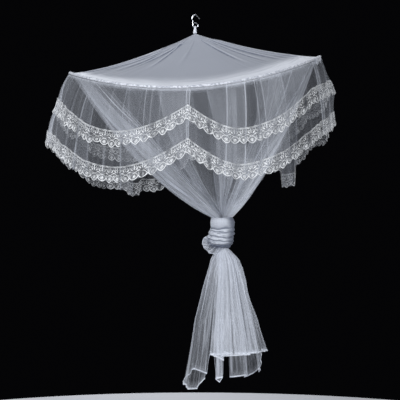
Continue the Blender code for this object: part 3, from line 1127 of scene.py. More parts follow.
# %% Needlework on the flat
LACE_REPEATS = 108
LACE_PITCH = 2 * math.pi * 0.55 / LACE_REPEATS  # one repeat, on a ring of the foot's mean radius
THREAD_COVER = 0.92
RAIL_SHARE = 0.75  # the edges of a thread are thinner than its middle
LEAF_SHAPE = ((-0.5, 0.12), (-0.2, 0.9), (0.15, 1.0), (0.5, 0.1))  # share of length, of width
LEAF_EDGE = 0.0002
DOT_SIDES = 7


class Flat:
    """Points and faces of flat needlework. X goes along the band, Y down it, Z off the net."""

    def __init__(self):
        self.points = []
        self.covers = []
        self.faces = []

    def point(self, x, y, z, cover):
        self.points.append((x, y, z))
        self.covers.append(cover)
        return len(self.points) - 1

    def ribs(self, rows):
        """Two faces from each row of three points to the next."""
        for here, there in zip(rows, rows[1:]):
            self.faces.append((here[0], here[1], there[1], there[0]))
            self.faces.append((here[1], here[2], there[2], there[1]))

    def thread(self, route, width, rise=0.0008, cover=THREAD_COVER):
        """A raised strip along a route of flat points."""
        rails = []
        for index, (x, y) in enumerate(route):
            before = route[max(index - 1, 0)]
            after = route[min(index + 1, len(route) - 1)]
            along = Vector((after[0] - before[0], after[1] - before[1])).normalized()
            side = Vector((-along.y, along.x)) * width / 2
            rails.append((
                self.point(x - side.x, y - side.y, 0.0, cover * RAIL_SHARE),
                self.point(x, y, rise, cover),
                self.point(x + side.x, y + side.y, 0.0, cover * RAIL_SHARE),
            ))
        self.ribs(rails)

    def leaf(self, x, y, length, width, turn, rise=0.0011):
        """A pointed oval with a raised rib."""
        ahead = Vector((math.cos(turn), math.sin(turn)))
        side = Vector((-ahead.y, ahead.x))
        rows = []
        for share, swell in LEAF_SHAPE:
            middle = Vector((x, y)) + ahead * length * share
            left = middle - side * width / 2 * swell
            right = middle + side * width / 2 * swell
            rows.append((
                self.point(left.x, left.y, LEAF_EDGE, THREAD_COVER),
                self.point(middle.x, middle.y, rise, 1.0),
                self.point(right.x, right.y, LEAF_EDGE, THREAD_COVER),
            ))
        self.ribs(rows)

    def dot(self, x, y, radius, rise=0.0016):
        middle = self.point(x, y, rise, 1.0)
        ring = []
        for index in range(DOT_SIDES):
            turn = 2 * math.pi * index / DOT_SIDES
            ring.append(self.point(x + radius * math.cos(turn), y + radius * math.sin(turn),
                                   LEAF_EDGE, THREAD_COVER))
        for index in range(DOT_SIDES):
            self.faces.append((middle, ring[(index + 1) % DOT_SIDES], ring[index]))


print("one repeat is", round(LACE_PITCH * 1000, 1), "mm")

# %% The ground of one repeat
SCALLOP_CUSP = 0.046
SCALLOP_TIP = 0.0585
GROUND_COVER = 0.11
GROUND_DEPTH = -0.0001
GROUND_COLUMNS = 8
HOLES_TOP = 0.0046
HOLES_MIDDLE = 0.0090
HOLES_FOOT = 0.0135
GROUND_STRIPS = ((0.0, 0.0048, 1), (HOLES_FOOT, None, 5))  # top, foot or None for the edge, rows


def scallop_edge(share):
    """How far down the foot of the lace is, at a share of the repeat."""
    dip = math.sin(math.pi * share) ** 0.75
    return SCALLOP_CUSP + (SCALLOP_TIP - SCALLOP_CUSP) * dip


def draw_ground(flat):
    """Thin net under the threads; the row of holes has none."""
    for top, foot, rows in GROUND_STRIPS:
        lines = []
        for row in range(rows + 1):
            line = []
            for column in range(GROUND_COLUMNS + 1):
                share = column / GROUND_COLUMNS
                end = scallop_edge(share) if foot is None else foot
                y = top + (end - top) * row / rows
                line.append(flat.point(share * LACE_PITCH, y, GROUND_DEPTH, GROUND_COVER))
            lines.append(line)
        for upper, lower in zip(lines, lines[1:]):
            for column in range(GROUND_COLUMNS):
                flat.faces.append((upper[column], lower[column], lower[column + 1],
                                   upper[column + 1]))


print("scallop from", SCALLOP_CUSP, "to", SCALLOP_TIP)

# %% The threads of one repeat
LINES = ((0.0008, 0.0015), (HOLES_TOP, 0.0013), (HOLES_FOOT, 0.0016))  # depth and width
ZIGZAG = {"down": 0.0016, "high": 0.0022, "width": 0.0009}
BAR = {"out": 0.0008, "back": 0.0006, "width": 0.0013}  # between two square holes
KNOB = {"down": 0.0092, "radius": 0.0024}  # in the middle of the row of holes
LEAVES = table(  # share along the repeat, depth, size and the way the leaf points
    "share down length width turn",
    (0.20, 0.0195, 0.0120, 0.0046, 0.75),
    (0.50, 0.0185, 0.0080, 0.0040, math.pi / 2),
    (0.80, 0.0195, 0.0120, 0.0046, math.pi - 0.75),
    (0.04, 0.0265, 0.0085, 0.0036, -0.35),
    (0.96, 0.0265, 0.0085, 0.0036, math.pi + 0.35),
)
VINE = {"down": 0.0300, "swing": 0.0030, "width": 0.0016}
ARCH = {"down": 0.0450, "rise": 0.0115, "half": 0.40, "width": 0.0017}  # half: of the repeat
FLOWER = {"down": 0.0462, "radius": 0.0044, "heart": 0.0020}
PETAL = {"length": 0.0052, "width": 0.0030}
PETAL_TURNS = (-0.6, 0.35, 1.3, 2.2, 3.15, 4.1, 5.0)  # radians
CUSP = ((0.0, SCALLOP_CUSP - 0.001), (0.0, 0.0385), (0.0010, 0.0330))  # up between two scallops
CUSP_WIDTH = 0.0018
SATIN = {"inset": 0.0014, "width": 0.0034, "rise": 0.0014}


def draw_heading(flat, wide):
    """The double line, its zigzag and the bars between the square holes."""
    quarters = [wide * step / 4 for step in range(5)]
    for y, width in LINES:
        flat.thread([(x, y) for x in quarters], width)
    zigzag = []
    for step, x in enumerate(quarters):
        zigzag.append((x, ZIGZAG["down"] + ZIGZAG["high"] * (step % 2)))
    flat.thread(zigzag, ZIGZAG["width"])
    for x in quarters[:4]:
        out, back = x + BAR["out"], x - BAR["back"]
        bar = [(out, HOLES_TOP), (back, HOLES_MIDDLE), (out, HOLES_FOOT)]
        flat.thread(bar, BAR["width"])
    flat.dot(wide / 2, KNOB["down"], KNOB["radius"])


def draw_leaves(flat, wide):
    for leaf in LEAVES:
        flat.leaf(wide * leaf["share"], leaf["down"], leaf["length"], leaf["width"], leaf["turn"])
    vine = []
    for step in range(7):
        down = VINE["down"] - VINE["swing"] * math.cos(math.pi * step / 3)
        vine.append((wide * step / 6, down))
    flat.thread(vine, VINE["width"])


def draw_scallop(flat, wide):
    """An arch over a flower, the cusp between two scallops and the satin edge."""
    arch = []
    for step in range(9):
        turn = math.pi * step / 8
        arch.append((wide * (0.5 + ARCH["half"] * math.cos(turn)),
                     ARCH["down"] - ARCH["rise"] * math.sin(turn)))
    flat.thread(arch, ARCH["width"])
    for turn in PETAL_TURNS:
        x = wide / 2 + FLOWER["radius"] * math.cos(turn)
        y = FLOWER["down"] + FLOWER["radius"] * math.sin(turn)
        flat.leaf(x, y, PETAL["length"], PETAL["width"], turn)
    flat.dot(wide / 2, FLOWER["down"], FLOWER["heart"])
    flat.thread(CUSP, CUSP_WIDTH)
    satin = [(wide * step / 10, scallop_edge(step / 10) - SATIN["inset"]) for step in range(11)]
    flat.thread(satin, SATIN["width"], SATIN["rise"], 1.0)


def draw_repeat():
    flat = Flat()
    draw_ground(flat)
    for draw in (draw_heading, draw_leaves, draw_scallop):
        draw(flat, LACE_PITCH)
    mesh = bpy.data.meshes.new("lace_repeat")
    mesh.from_pydata(flat.points, [], flat.faces)
    keep_numbers(mesh, "cover", flat.covers)
    return mesh


repeat = draw_repeat()
print("faces in one repeat", len(repeat.polygons))

# %% [markdown]
# ## Laying the lace on the valance
# Geometry Nodes set the repeats side by side in one long flat strip. Python then bends the
# strip: the distance along it becomes an angle round the rim, and the distance down it becomes a
# depth below the rim, so the lace follows each swag and each fold of the net that carries it.

# %% The two bands of lace
LACE_PULL = 0.007  # radians that the net pulls the repeats apart or together
LACE_SLACK = 0.16  # how much longer or shorter the band gets from place to place
LACE_OVERLAP = 0.0035  # how far its top lies above the row of the net that it is sewn to
LACE_LIFT = 0.0022
PULL_LIFT = 0.0012
SCALLOP_LIFT = 0.0020  # the free points stand off further, from this depth on
SCALLOP_FREE = 0.045
LACE_BASE = 0.96
LACE_DOUBLED = 1.40  # how much denser the lace looks where it lies in two layers
PULL_WAVES = 28  # round the rim
SLACK_WAVES = 17
DOUBLED_WAVES = 36


def strip_tree():
    """Set copies of what comes in side by side along X."""
    tree, entry = start_tree("repeats_in_a_strip", Repeats=10, Pitch=0.03)
    step = node_in(tree, "ShaderNodeCombineXYZ", X=entry["Pitch"])
    line = node_in(tree, "GeometryNodeMeshLine", {"mode": "OFFSET"}, Count=entry["Repeats"],
                   Offset=step.outputs[0])
    spread = node_in(tree, "GeometryNodeInstanceOnPoints", Points=line.outputs[0],
                     Instance=entry["Geometry"])
    finish_tree(tree, entry, spread)
    return tree


def make_lace(name, node, top_row):
    lace = grown(name, repeat.copy(), strip_tree(), Repeats=LACE_REPEATS, Pitch=LACE_PITCH)
    length = LACE_REPEATS * LACE_PITCH
    flats, covers = [], []
    cover = lace.data.attributes["cover"].data
    for vertex in lace.data.vertices:
        along, down, rise = vertex.co
        turn = 2 * math.pi * along / length
        pull = ring_grain(turn, PULL_WAVES, top_row + 14 * down)
        slack = ring_grain(turn, SLACK_WAVES, top_row + 30)
        doubled = ring_grain(turn, DOUBLED_WAVES, 22 * down)
        angle = turn + LACE_PULL * pull
        drop = valance_drops(angle)[top_row] + down * (1 + LACE_SLACK * slack) - LACE_OVERLAP
        lift = LACE_LIFT + rise + PULL_LIFT * pull + SCALLOP_LIFT * (down > SCALLOP_FREE)
        vertex.co = valance_point(angle, drop, lift)
        flats.append((along, down))
        dense = LACE_BASE + LACE_DOUBLED * doubled
        covers.append(min(cover[vertex.index].value * dense, 1.0))
    cover.foreach_set("value", covers)
    keep_flat(lace.data, flats)
    lace.data.shade_smooth()
    stand_for(lace, node)
    print(name, "faces", len(lace.data.polygons), "area", round(area_of(lace), 4))


make_lace("lace_upper", "upper_lace", 2)
make_lace("lace_lower", "lower_lace", 4)

# %% [markdown]
# ## The draw tape
# Behind each front peak a flat tape runs up to the rim and holds the swags up. It is a folded
# strip of net, so both its edges show as bright lines.

# %% The draw tape
TAPE_ANGLE = 267.5
TAPE_WIDTH = 0.014
TAPE_TOP = 0.010
TAPE_NARROWS = 0.45  # share of its width that the gathered part loses
TAPE_BEHIND = 0.0013  # behind the net
TAPE_BELLY = 0.001
TAPE_COVER = 0.16
TAPE_EDGE_COVER = 0.55
TAPE_COLUMNS = 8
TAPE_ROWS = 40


def tape_station(column, row):
    share = column / TAPE_COLUMNS
    level = row / TAPE_ROWS
    angle = math.radians(TAPE_ANGLE)
    drop = TAPE_TOP + (valance_drops(angle)[4] - TAPE_TOP) * level
    narrow = 1 - TAPE_NARROWS * smooth_step(level * 1.6)
    turned = angle + (share - 0.5) * TAPE_WIDTH * narrow / RIM_RADIUS
    edge = abs(share - 0.5) * 2
    cover = TAPE_COVER + TAPE_EDGE_COVER * bump_at(edge, 0.95, 0.25)
    point = valance_point(turned, drop, -SHEET - TAPE_BEHIND - TAPE_BELLY * (1 - edge))
    return point, cover, (share * TAPE_WIDTH, drop)


def make_draw_tape():
    tape = cloth_sheet("draw_tape_strip", TAPE_COLUMNS, TAPE_ROWS, tape_station, "net",
                       turned=True)
    stand_for(tape, "draw_tape")
    print("tape area", round(area_of(tape), 5))


make_draw_tape()

# %% [markdown]
# ## The curtain
# One long net hangs from the whole rim and laps over itself at the door. It is gathered into a
# neck, goes through the knot and opens again as the tail. The table below gives the edges of its
# panels at five heights between the rim and the neck, because each edge wanders on its way to
# the knot. Where the ring of cloth gets narrower, fine pleats take up the width that is left.

# %% Panels of the curtain
DOOR_STEP = 0.011  # between the two layers of the overlap
CURTAIN_TOP = 0.004
CURTAIN_GAP = 0.0012
CURTAIN_SAG = 0.070
CURTAIN_LEVELS = (0.0, 0.2, 0.4, 0.6, 0.9)
CURTAIN_EDGES = table(  # degrees at five heights, line, layers up to the next edge, its cover
    "angles line layers cover",
    ((205.5, 214.0, 223.0, 232.0, 248.0), 0.6, 1,  1.0),
    ((254.0, 251.0, 251.0, 253.0, 268.0), 0.5, 3, 1.35),
    ((266.5, 262.2, 258.7, 262.0, 271.0), 0.8, 1,  1.5),
    ((269.0, 267.8, 264.4, 264.1, 272.0), 0.5, 1,  0.8),
    ((275.0, 278.0, 278.3, 279.2, 277.0), 0.7, 3,  1.2),
    ((288.0, 290.0, 292.0, 291.0, 284.0), 0.3, 1,  0.8),
    ((298.0, 303.0, 299.0, 294.9, 288.0), 0.5, 3,  1.2),
    ((305.0, 308.5, 303.5, 301.0, 293.0), 1.1, 1,  3.2),
    ((320.0, 316.8, 312.6, 308.0, 298.0), 1.1, 3,  1.7),
    ((341.0, 330.0, 322.0, 316.0, 305.0), 1.0, 1,  4.2),
    ((362.0, 358.0, 354.0, 350.0, 340.0), 0.4, 3,  1.0),
    ((374.0, 370.0, 368.0, 366.0, 362.0), 0.4, 1,  0.9),
    ((402.0, 402.0, 402.0, 402.0, 402.0), 0.3, 1,  0.9),
    ((431.0, 431.0, 432.0, 434.0, 438.0), 0.5, 3,  0.9),
    ((444.0, 444.0, 445.0, 446.0, 448.0), 0.5, 1,  0.8),
    ((470.0, 471.0, 472.0, 474.0, 480.0), 0.4, 3,  0.9),
    ((484.0, 485.0, 486.0, 487.0, 490.0), 0.4, 1,  0.9),
    ((516.0, 517.0, 519.0, 522.0, 530.0), 0.3, 3,  1.2),
    ((534.0, 536.0, 540.0, 545.0, 556.0), 0.4, 1,  2.6),
    ((560.0, 566.0, 574.0, 583.0, 600.0), 0.9, 5,  2.9),
    ((571.0, 587.5, 599.5, 609.0, 621.0), 0.6, 1,  2.3),
    ((579.0, 592.5, 602.1, 610.5, 622.0), 2.6, 1,  2.0),
    ((583.5, 594.5, 603.8, 612.7, 625.5), 1.8, 1,  1.2),
    ((588.0, 596.5, 605.5, 614.9, 629.5), 2.4, 1,  1.0),
)
print("panels:", len(CURTAIN_EDGES) - 1)

# %% [markdown]
# ## Below the neck
# Five rings of the solid model fix how wide the bunch is inside the knot, and four more how the
# tail opens. In the tail the same cloth is pushed into fewer degrees, so it doubles back on
# itself: the second table walks round the hem and says where each part of the cloth comes down.
# Where the angle turns back there is a fold, and where the hem jumps up there is a gap.

# %% Rings and hem
SECTIONS = table(
    "x z wide deep turn",
    (0.107, -0.813, 0.042, 0.040,  0.0),
    (0.110, -0.838, 0.051, 0.047,  6.0),
    (0.107, -0.866, 0.048, 0.044, 12.0),
    (0.098, -0.898, 0.050, 0.046, 20.0),
    (0.103, -0.926, 0.038, 0.036, 28.0),
    (0.114, -0.950, 0.032, 0.031, 34.0),
    (0.120, -0.985, 0.058, 0.048, 35.5),
    (0.124, -1.030, 0.073, 0.060, 36.0),
    (0.126, -1.100, 0.090, 0.074, 37.0),
    (0.130, -1.225, 0.121, 0.096, 38.0),
)
HEM_SECTION = {"x": 0.134, "z": -1.345, "wide": 0.152, "deep": 0.116, "turn": 39.0}
HEM = table(  # share of the cloth, degrees round the tail, how far inside it, height, cover
    "share angle inset z cover",
    (0.000, 226.0,  0.34, -1.342,  1.0),
    (0.030, 240.0,  0.06, -1.350,  1.2),
    (0.060, 262.0,  0.02, -1.372,  1.2),
    (0.085, 243.0,  0.10, -1.352,  1.3),
    (0.130, 276.0,  0.00, -1.345,  1.2),
    (0.160, 256.0,  0.10, -1.356,  1.1),
    (0.235, 300.0,  0.00, -1.349,  1.1),
    (0.265, 279.0,  0.10, -1.345,  1.1),
    (0.330, 321.0,  0.02, -1.340,  1.1),
    (0.355, 308.0,  0.12, -1.336,  1.0),
    (0.420, 349.0,  0.00, -1.316,  0.8),
    (0.460, 372.0,  0.10, -1.345,  0.7),
    (0.500, 394.0,  0.04, -1.440,  0.8),
    (0.525, 383.0,  0.14, -1.425,  0.8),
    (0.585, 424.0,  0.00, -1.468,  0.9),
    (0.610, 412.0,  0.12, -1.455,  0.9),
    (0.655, 447.0,  0.00, -1.470,  1.1),
    (0.662, 448.5,  0.00, -1.370,  0.6),
    (0.690, 456.5,  0.04, -1.365,  0.6),
    (0.697, 458.0,  0.00, -1.472,  1.2),
    (0.715, 463.0,  0.00, -1.490,  1.2),
    (0.735, 469.0,  0.00, -1.476,  1.2),
    (0.755, 459.0,  0.12, -1.468,  1.2),
    (0.785, 471.5,  0.16, -1.470,  1.0),
    (0.795, 474.0,  0.10, -1.370,  0.6),
    (0.815, 480.0,  0.06, -1.375,  0.6),
    (0.825, 484.0,  0.00, -1.452, 0.75),
    (0.870, 510.0, -0.04, -1.428, 0.55),
    (0.915, 540.0, -0.11, -1.482, 0.50),
    (0.950, 560.0, -0.10, -1.494,  0.5),
    (0.980, 577.0, -0.06, -1.488,  0.5),
    (1.000, 590.0,  0.02, -1.446,  0.6),
)
KNOT_END = 5  # the section where the knot ends


def section_at(depth):
    """The cross-section at a depth counted in sections; one past the last is the hem's."""
    rows = (*SECTIONS, HEM_SECTION)
    index = min(int(depth), len(rows) - 2)
    share = smooth_step(depth - index) if index < KNOT_END else depth - index
    here, there = rows[index], rows[index + 1]
    return {key: here[key] + (there[key] - here[key]) * share for key in here}


def hem_at(share):
    """Every column of the hem's table at a share of the cloth."""
    for here, there in zip(HEM, HEM[1:]):
        if share <= there["share"]:
            break
    part = smooth_step((share - here["share"]) / (there["share"] - here["share"]))
    return {key: here[key] + (there[key] - here[key]) * part for key in here}


print("hem from", min(row["z"] for row in HEM), "to", max(row["z"] for row in HEM))

# %% The funnel, from the rim to the neck
FINE_PLEATS = 200.0  # radians of pleat in a metre of cloth
FUNNEL_PLEAT = 0.010
FUNNEL_SHRINK = 0.9  # share of the rim's girth that is taken up by pleats at the neck
INNER_SHRINK = 0.2  # how far the inner edge of the door stays inside the ring
FUNNEL_CROWD = 1.2  # how many times denser than flat the net is at the rim
FUNNEL_CLOSING = 2.3  # what the narrowing funnel adds to that by the neck
NECK_CROWD = 9.0  # how many times denser the net gets in the last stretch to the neck
NECK_START = 0.72
FUNNEL_CREASE_COVER = 0.20
FUNNEL_CREASE_LIFT = 0.0025
PLEAT_COVER = 0.28
FUNNEL_PATCHES = 0.6  # how uneven the cover is at the neck
PANEL_LINE = 0.26  # the bright edges of the bundles
PANEL_LINE_REACH = 0.07


def slow_wave(angle):
    return math.cos(16 * angle + 0.9 * math.sin(2 * angle) + 0.6 * math.sin(angle + 1))


def ring_point(section, angle, inset, swell):
    x = section["x"] + (section["wide"] + swell) * (1 - inset) * math.cos(angle)
    y = (section["deep"] + swell) * (1 - inset) * math.sin(angle)
    return Vector((x, y, section["z"]))


def funnel_cover(place, share, level, fine):
    """How dense the net looks: bundles, creases, pleats and the crowd of threads at the neck."""
    here, there = CURTAIN_EDGES[place["panel"]], CURTAIN_EDGES[place["panel"] + 1]
    closing = FUNNEL_CLOSING * level**1.5
    crowd = FUNNEL_CROWD + closing + NECK_CROWD * smooth_step((level - NECK_START) / 0.28)
    cover = NET_COVER * here["cover"] ** (1 - level**2) * crowd
    cover += FUNNEL_CREASE_COVER * place["crease"] * (1 - 0.3 * level)
    line = here["line"] * bump_at(place["share"], 0.0, PANEL_LINE_REACH)
    line += there["line"] * bump_at(place["share"], 1.0, PANEL_LINE_REACH)
    cover += PANEL_LINE * min(line, 1.1) * smooth_step((level - 0.25) * 2)
    cover *= 1 + PLEAT_COVER * fine * smooth_step(level * 2)
    return cover * (1 + FUNNEL_PATCHES * level * grain(share * 55, 0.8 * level, 4.0))


def funnel_station(place, share, level):
    angle = path_angle(CURTAIN_EDGES, place, CURTAIN_LEVELS, level)
    inward = 1 - share
    outward = -CASING_HALF - CURTAIN_GAP - inward * DOOR_STEP
    top = rim_point(angle, outward, -CURTAIN_TOP)
    neck = ring_point(SECTIONS[0], angle, INNER_SHRINK * inward, 0.0)
    point = top.lerp(neck, level)
    point.z -= CURTAIN_SAG * sag(level)
    ring = 1 - FUNNEL_SHRINK * level
    fine = math.cos(FINE_PLEATS * place["along"] + 2.2 * grain(share * 40, 0.0, 0.0))
    depth = math.pi / 2 / FINE_PLEATS * math.sqrt(1 - ring * ring)
    depth *= 0.45 + 0.55 * smooth_step((level - 0.5) * 2)
    swell = FUNNEL_PLEAT * sag(level) * slow_wave(angle)
    swell += depth * fine + layer_lift(place) * (1 - 0.4 * level)
    swell += FUNNEL_CREASE_LIFT * place["crease"] * smooth_step(level * 8)
    return point + around(angle) * swell, funnel_cover(place, share, level, fine)


print("neck at", SECTIONS[0]["z"])

# %% The tail, from the neck to the hem
KNOT_ROWS = 10
KNOT_SHRINK = 0.72  # the net inside the knot stays clear of its wound turns
TAIL_ROWS = 52
HEM_ROWS = 3
HEM_BAND = 0.0070
HEM_ROLL = 0.0022
HEM_COVER = 0.96
HEM_SEAM_COVER = 0.3
LOBE_LAG = 0.6  # the last cloth of the tail turns into its place later than the rest
LOBE_START = 0.86
TAIL_CROWD = 2.3  # how many times denser than flat the net is at the hem
TAIL_CLOSING = 4.2  # what the bunch adds to that below the knot
TAIL_PATCHES = 0.7  # how uneven the cover is
BROAD_FOLD = (0.004, 0.010)  # depth below the knot, and what it gains down to the hem
NARROW_FOLD = (0.002, 0.005)
FINE_FOLD = 0.002
PROFILE_LINE = 0.34  # the net is dense where it turns away at both sides
CROSSING_LINE = 0.16
DRAWN_LINE = 0.20
END_SHARE = 0.004  # the cut edges of the cloth, at both ends of the hem
END_LINE = 0.30


def tail_cover(place, hem, angle, fall):
    """How dense the net looks: crowded below the knot, then in creases and drawn lines."""
    along = place["along"]
    crowd = TAIL_CROWD + TAIL_CLOSING * (1 - min(fall, 1.0)) ** 1.6
    lower = smooth_step((fall - 0.50) / 0.50) if hem["cover"] < 1 else smooth_step(fall * 1.3)
    cover = NET_COVER * crowd * (1 + (hem["cover"] - 1) * lower)
    cover *= 1 + TAIL_PATCHES * grain(along * 30, fall * 2.2, 3.0)
    crossing = grain(along * 6 + fall * 1.5, fall * 2.5, 20.0)
    cover += CROSSING_LINE * bump_at(crossing, 0.0, 0.035)
    drawn = grain(along * 17 + fall * 0.8, fall * 1.1, 31.0)
    cover += DRAWN_LINE * bump_at(drawn, 0.0, 0.045) * smooth_step(fall * 4)
    side = math.degrees(angle) % 180
    return cover + PROFILE_LINE * bump_at(min(side, 180 - side), 0.0, 2.5) * smooth_step(fall * 5)


def tail_swell(along, fall):
    """Broad, narrow and fine folds, which grow as the tail opens."""
    broad = (BROAD_FOLD[0] + BROAD_FOLD[1] * fall) * grain(along * 7, fall * 1.6, 1.7)
    narrow = (NARROW_FOLD[0] + NARROW_FOLD[1] * fall) * grain(along * 24, fall * 2.4, 5.0)
    fine = FINE_FOLD * grain(along * 60, fall * 4, 9.0)
    return smooth_step(fall * 2.5) * (broad + narrow) + fine * smooth_step(fall * 8)


def tail_station(place, share, row):
    hem = hem_at(share)
    start = path_angle(CURTAIN_EDGES, place, CURTAIN_LEVELS, 1.0)
    inside = min(row / KNOT_ROWS, 1.0)
    fall = max(row - KNOT_ROWS, 0) / (TAIL_ROWS - HEM_ROWS)
    lag = LOBE_LAG * smooth_step((share - LOBE_START) / (1 - LOBE_START)) * max(1 - fall, 0.0)
    angle = start + (math.radians(hem["angle"]) - start) * smooth_step(inside) * (1 - lag)
    depth = KNOT_END * inside + (len(SECTIONS) - KNOT_END) * min(fall, 1.0)
    section = section_at(depth)
    last = SECTIONS[-1]["z"]
    section["z"] = min(section["z"], last + (hem["z"] - last) * (depth - len(SECTIONS) + 1))
    tuck = hem["inset"] * (fall**5 if hem["inset"] < 0 else inside * (0.3 + 0.7 * fall))
    inset = INNER_SHRINK * (1 - share) * (1 - inside) + tuck
    point = ring_point(section, angle, inset, tail_swell(place["along"], fall))
    if row < KNOT_ROWS:
        middle = Vector((section["x"], 0.0, point.z))
        point = middle + (point - middle) * KNOT_SHRINK
    cover = tail_cover(place, hem, angle, fall)
    at_end = min(share, 1 - share) < END_SHARE
    cover += END_LINE * place["crease"] * at_end
    beyond = row - KNOT_ROWS - (TAIL_ROWS - HEM_ROWS)
    if beyond >= 0:
        point.z -= HEM_BAND * beyond / HEM_ROWS
        point += around(angle) * HEM_ROLL * math.sin(math.pi * beyond / HEM_ROWS)
        cover = HEM_COVER if beyond > 0 else HEM_SEAM_COVER
    return point, cover


print("rows below the neck:", KNOT_ROWS + TAIL_ROWS)

# %% The curtain net
FUNNEL_ROWS = 42
CURTAIN_SPACING = 0.0075
FUNNEL_SLANT = 0.76  # flat length from the rim to the neck
TAIL_ROW = 0.011  # flat length of a row below it
LEAST_COVER = 0.02


def make_curtain():
    path = cloth_path(CURTAIN_EDGES, CURTAIN_SPACING)
    width = path[-1]["along"]

    def station(column, row):
        place = path[column]
        share = place["along"] / width
        if row <= FUNNEL_ROWS:
            point, cover = funnel_station(place, share, row / FUNNEL_ROWS)
            down = FUNNEL_SLANT * row / FUNNEL_ROWS
        else:
            point, cover = tail_station(place, share, row - FUNNEL_ROWS)
            down = FUNNEL_SLANT + (row - FUNNEL_ROWS) * TAIL_ROW
        return point, min(max(cover, LEAST_COVER), HEM_COVER), (place["along"], down)

    rows = FUNNEL_ROWS + KNOT_ROWS + TAIL_ROWS
    net = cloth_sheet("curtain_net", len(path) - 1, rows, station, "net")
    stand_for(net, "curtain")
    print("curtain columns", len(path), "width", round(width, 3), "area", round(area_of(net), 3))
    return net


curtain = make_curtain()

# %% [markdown]
# ## The knot
# The whole curtain is wound round itself and tucked in. Seen from outside the knot is a barrel
# of cloth wound in flat turns, and each turn is a tilted ring that hangs lower in front. A turn
# swells between its two edges and sinks into a crease where the next one begins; painted shade
# darkens the crease, the side away from the key light and the foot. Below on the left a soft
# loop of cloth sticks out, because the end is tucked in there.

# %% The barrel of the knot
KNOT_COLUMNS = 200
KNOT_STEPS = 120
KNOT_RADIUS = 0.05  # roughly, for the flat cloth
BARREL = table(  # height, middle, half width
    "z x wide",
    (-0.8060, 0.1075, 0.0180),
    (-0.8085, 0.1075, 0.0280),
    (-0.8130, 0.1080, 0.0355),
    (-0.8200, 0.1090, 0.0405),
    (-0.8336, 0.1110, 0.0445),
    (-0.8500, 0.1104, 0.0450),
    (-0.8618, 0.1104, 0.0470),
    (-0.8779, 0.1072, 0.0470),
    (-0.8940, 0.1023, 0.0475),
    (-0.9101, 0.1025, 0.0460),
    (-0.9262, 0.1051, 0.0390),
    (-0.9360, 0.1090, 0.0280),
    (-0.9400, 0.1110, 0.0180),
)
TURNS = table(  # upper edge: middle height, sag in front, rise to the right; swell below it
    "z sag right out",
    (-0.7960, 0.000,  0.000, 0.0045),
    (-0.8590, 0.001,  0.002, 0.0028),
    (-0.8700, 0.003, -0.004, 0.0062),
    (-0.8860, 0.008, -0.004, 0.0060),
    (-0.8985, 0.012, -0.004, 0.0066),
    (-0.9115, 0.014, -0.001, 0.0060),
    (-0.9250, 0.011,  0.002, 0.0030),
    (-0.9480, 0.000,  0.000, 0.0000),
)


def turn_swell(angle, z):
    """How far the turns stand out at a point, and how deep it lies in a crease from 0 to 1."""
    wander = 0.0016 * math.sin(3 * angle + z * 90) + 0.0010 * math.sin(7 * angle - z * 160)
    tops = []
    for turn in TURNS:
        tops.append(turn["z"] + turn["sag"] * math.sin(angle) + turn["right"] * math.cos(angle)
                    + wander)
    for turn, top, foot in zip(TURNS, tops, tops[1:]):
        if z >= foot:
            break
    share = min(max((top - z) / (top - foot), 0.0), 1.0)
    round_out = math.sin(math.pi * share) ** 0.7
    return turn["out"] * round_out, (1 - round_out) ** 1.2


print("turns of the knot:", len(TURNS) - 1)

# %% The knot's cloth
COLLAR_FOOT = -0.835  # fine creases lie below the collar, straight streaks on it
COLLAR_STREAKS = -0.850
CREASED_BELOW = -0.852
SHADED_BELOW = -0.9180
KNOT_TOP = -0.8085
KNOT_FOOT = -0.9400
KNOT_TILT = 0.010
KNOT_FLATNESS = 0.92
KNOT_WRINKLE = 0.0025
COLLAR_STREAK = 0.0012
KNOT_COVER = (0.60, 0.36)  # at both ends, and what the barrel has more
# painted shade, as shares of the way to the painted shade colour
CREASE_SHADE = 0.98
AWAY_SHADE = 0.80
FOOT_SHADE = 0.92
SMALL_SHADE = 0.7


def knot_shade(angle, z, crease, small):
    """Painted shade in the creases, on the side away from the key light and under the last turn.
    """
    away = smooth_step((math.cos(angle) - 0.15) / 0.7)
    below = smooth_step((SHADED_BELOW - z) / 0.008)
    pits = smooth_step((-0.1 - small) / 0.5) * smooth_step((CREASED_BELOW - z) / 0.010)
    return max(CREASE_SHADE * crease, AWAY_SHADE * away, FOOT_SHADE * below, SMALL_SHADE * pits)


def knot_station(column, row):
    stops = [-place["z"] for place in BARREL]
    angle = 2 * math.pi * column / KNOT_COLUMNS
    z = BARREL[0]["z"] + (BARREL[-1]["z"] - BARREL[0]["z"]) * row / KNOT_STEPS
    x = steps_between(stops, [place["x"] for place in BARREL], -z)
    wide = steps_between(stops, [place["wide"] for place in BARREL], -z)
    outward, crease = turn_swell(angle, z)
    small = ring_grain(angle, 2.2, (z - KNOT_TILT * math.sin(angle)) * 260)
    outward += KNOT_WRINKLE * small * smooth_step((COLLAR_FOOT - z) / 0.02)
    streak = COLLAR_STREAK * ring_grain(angle, 16, z * 12)
    outward += streak * smooth_step((z - COLLAR_STREAKS) / 0.03)
    point = Vector((x + (wide + outward) * math.cos(angle),
                    (wide * KNOT_FLATNESS + outward) * math.sin(angle), z))
    end = smooth_step((KNOT_TOP - z) / 0.003) * smooth_step((z - KNOT_FOOT) / 0.003)
    cover = KNOT_COVER[0] + KNOT_COVER[1] * end
    return point, cover, (z, angle * KNOT_RADIUS), knot_shade(angle, z, crease, small)


def make_knot():
    knot = cloth_sheet("curtain_knot", KNOT_COLUMNS, KNOT_STEPS, knot_station, "net")
    stand_for(knot, "curtain")
    print("knot area", round(area_of(knot), 4))
    return knot


knot = make_knot()

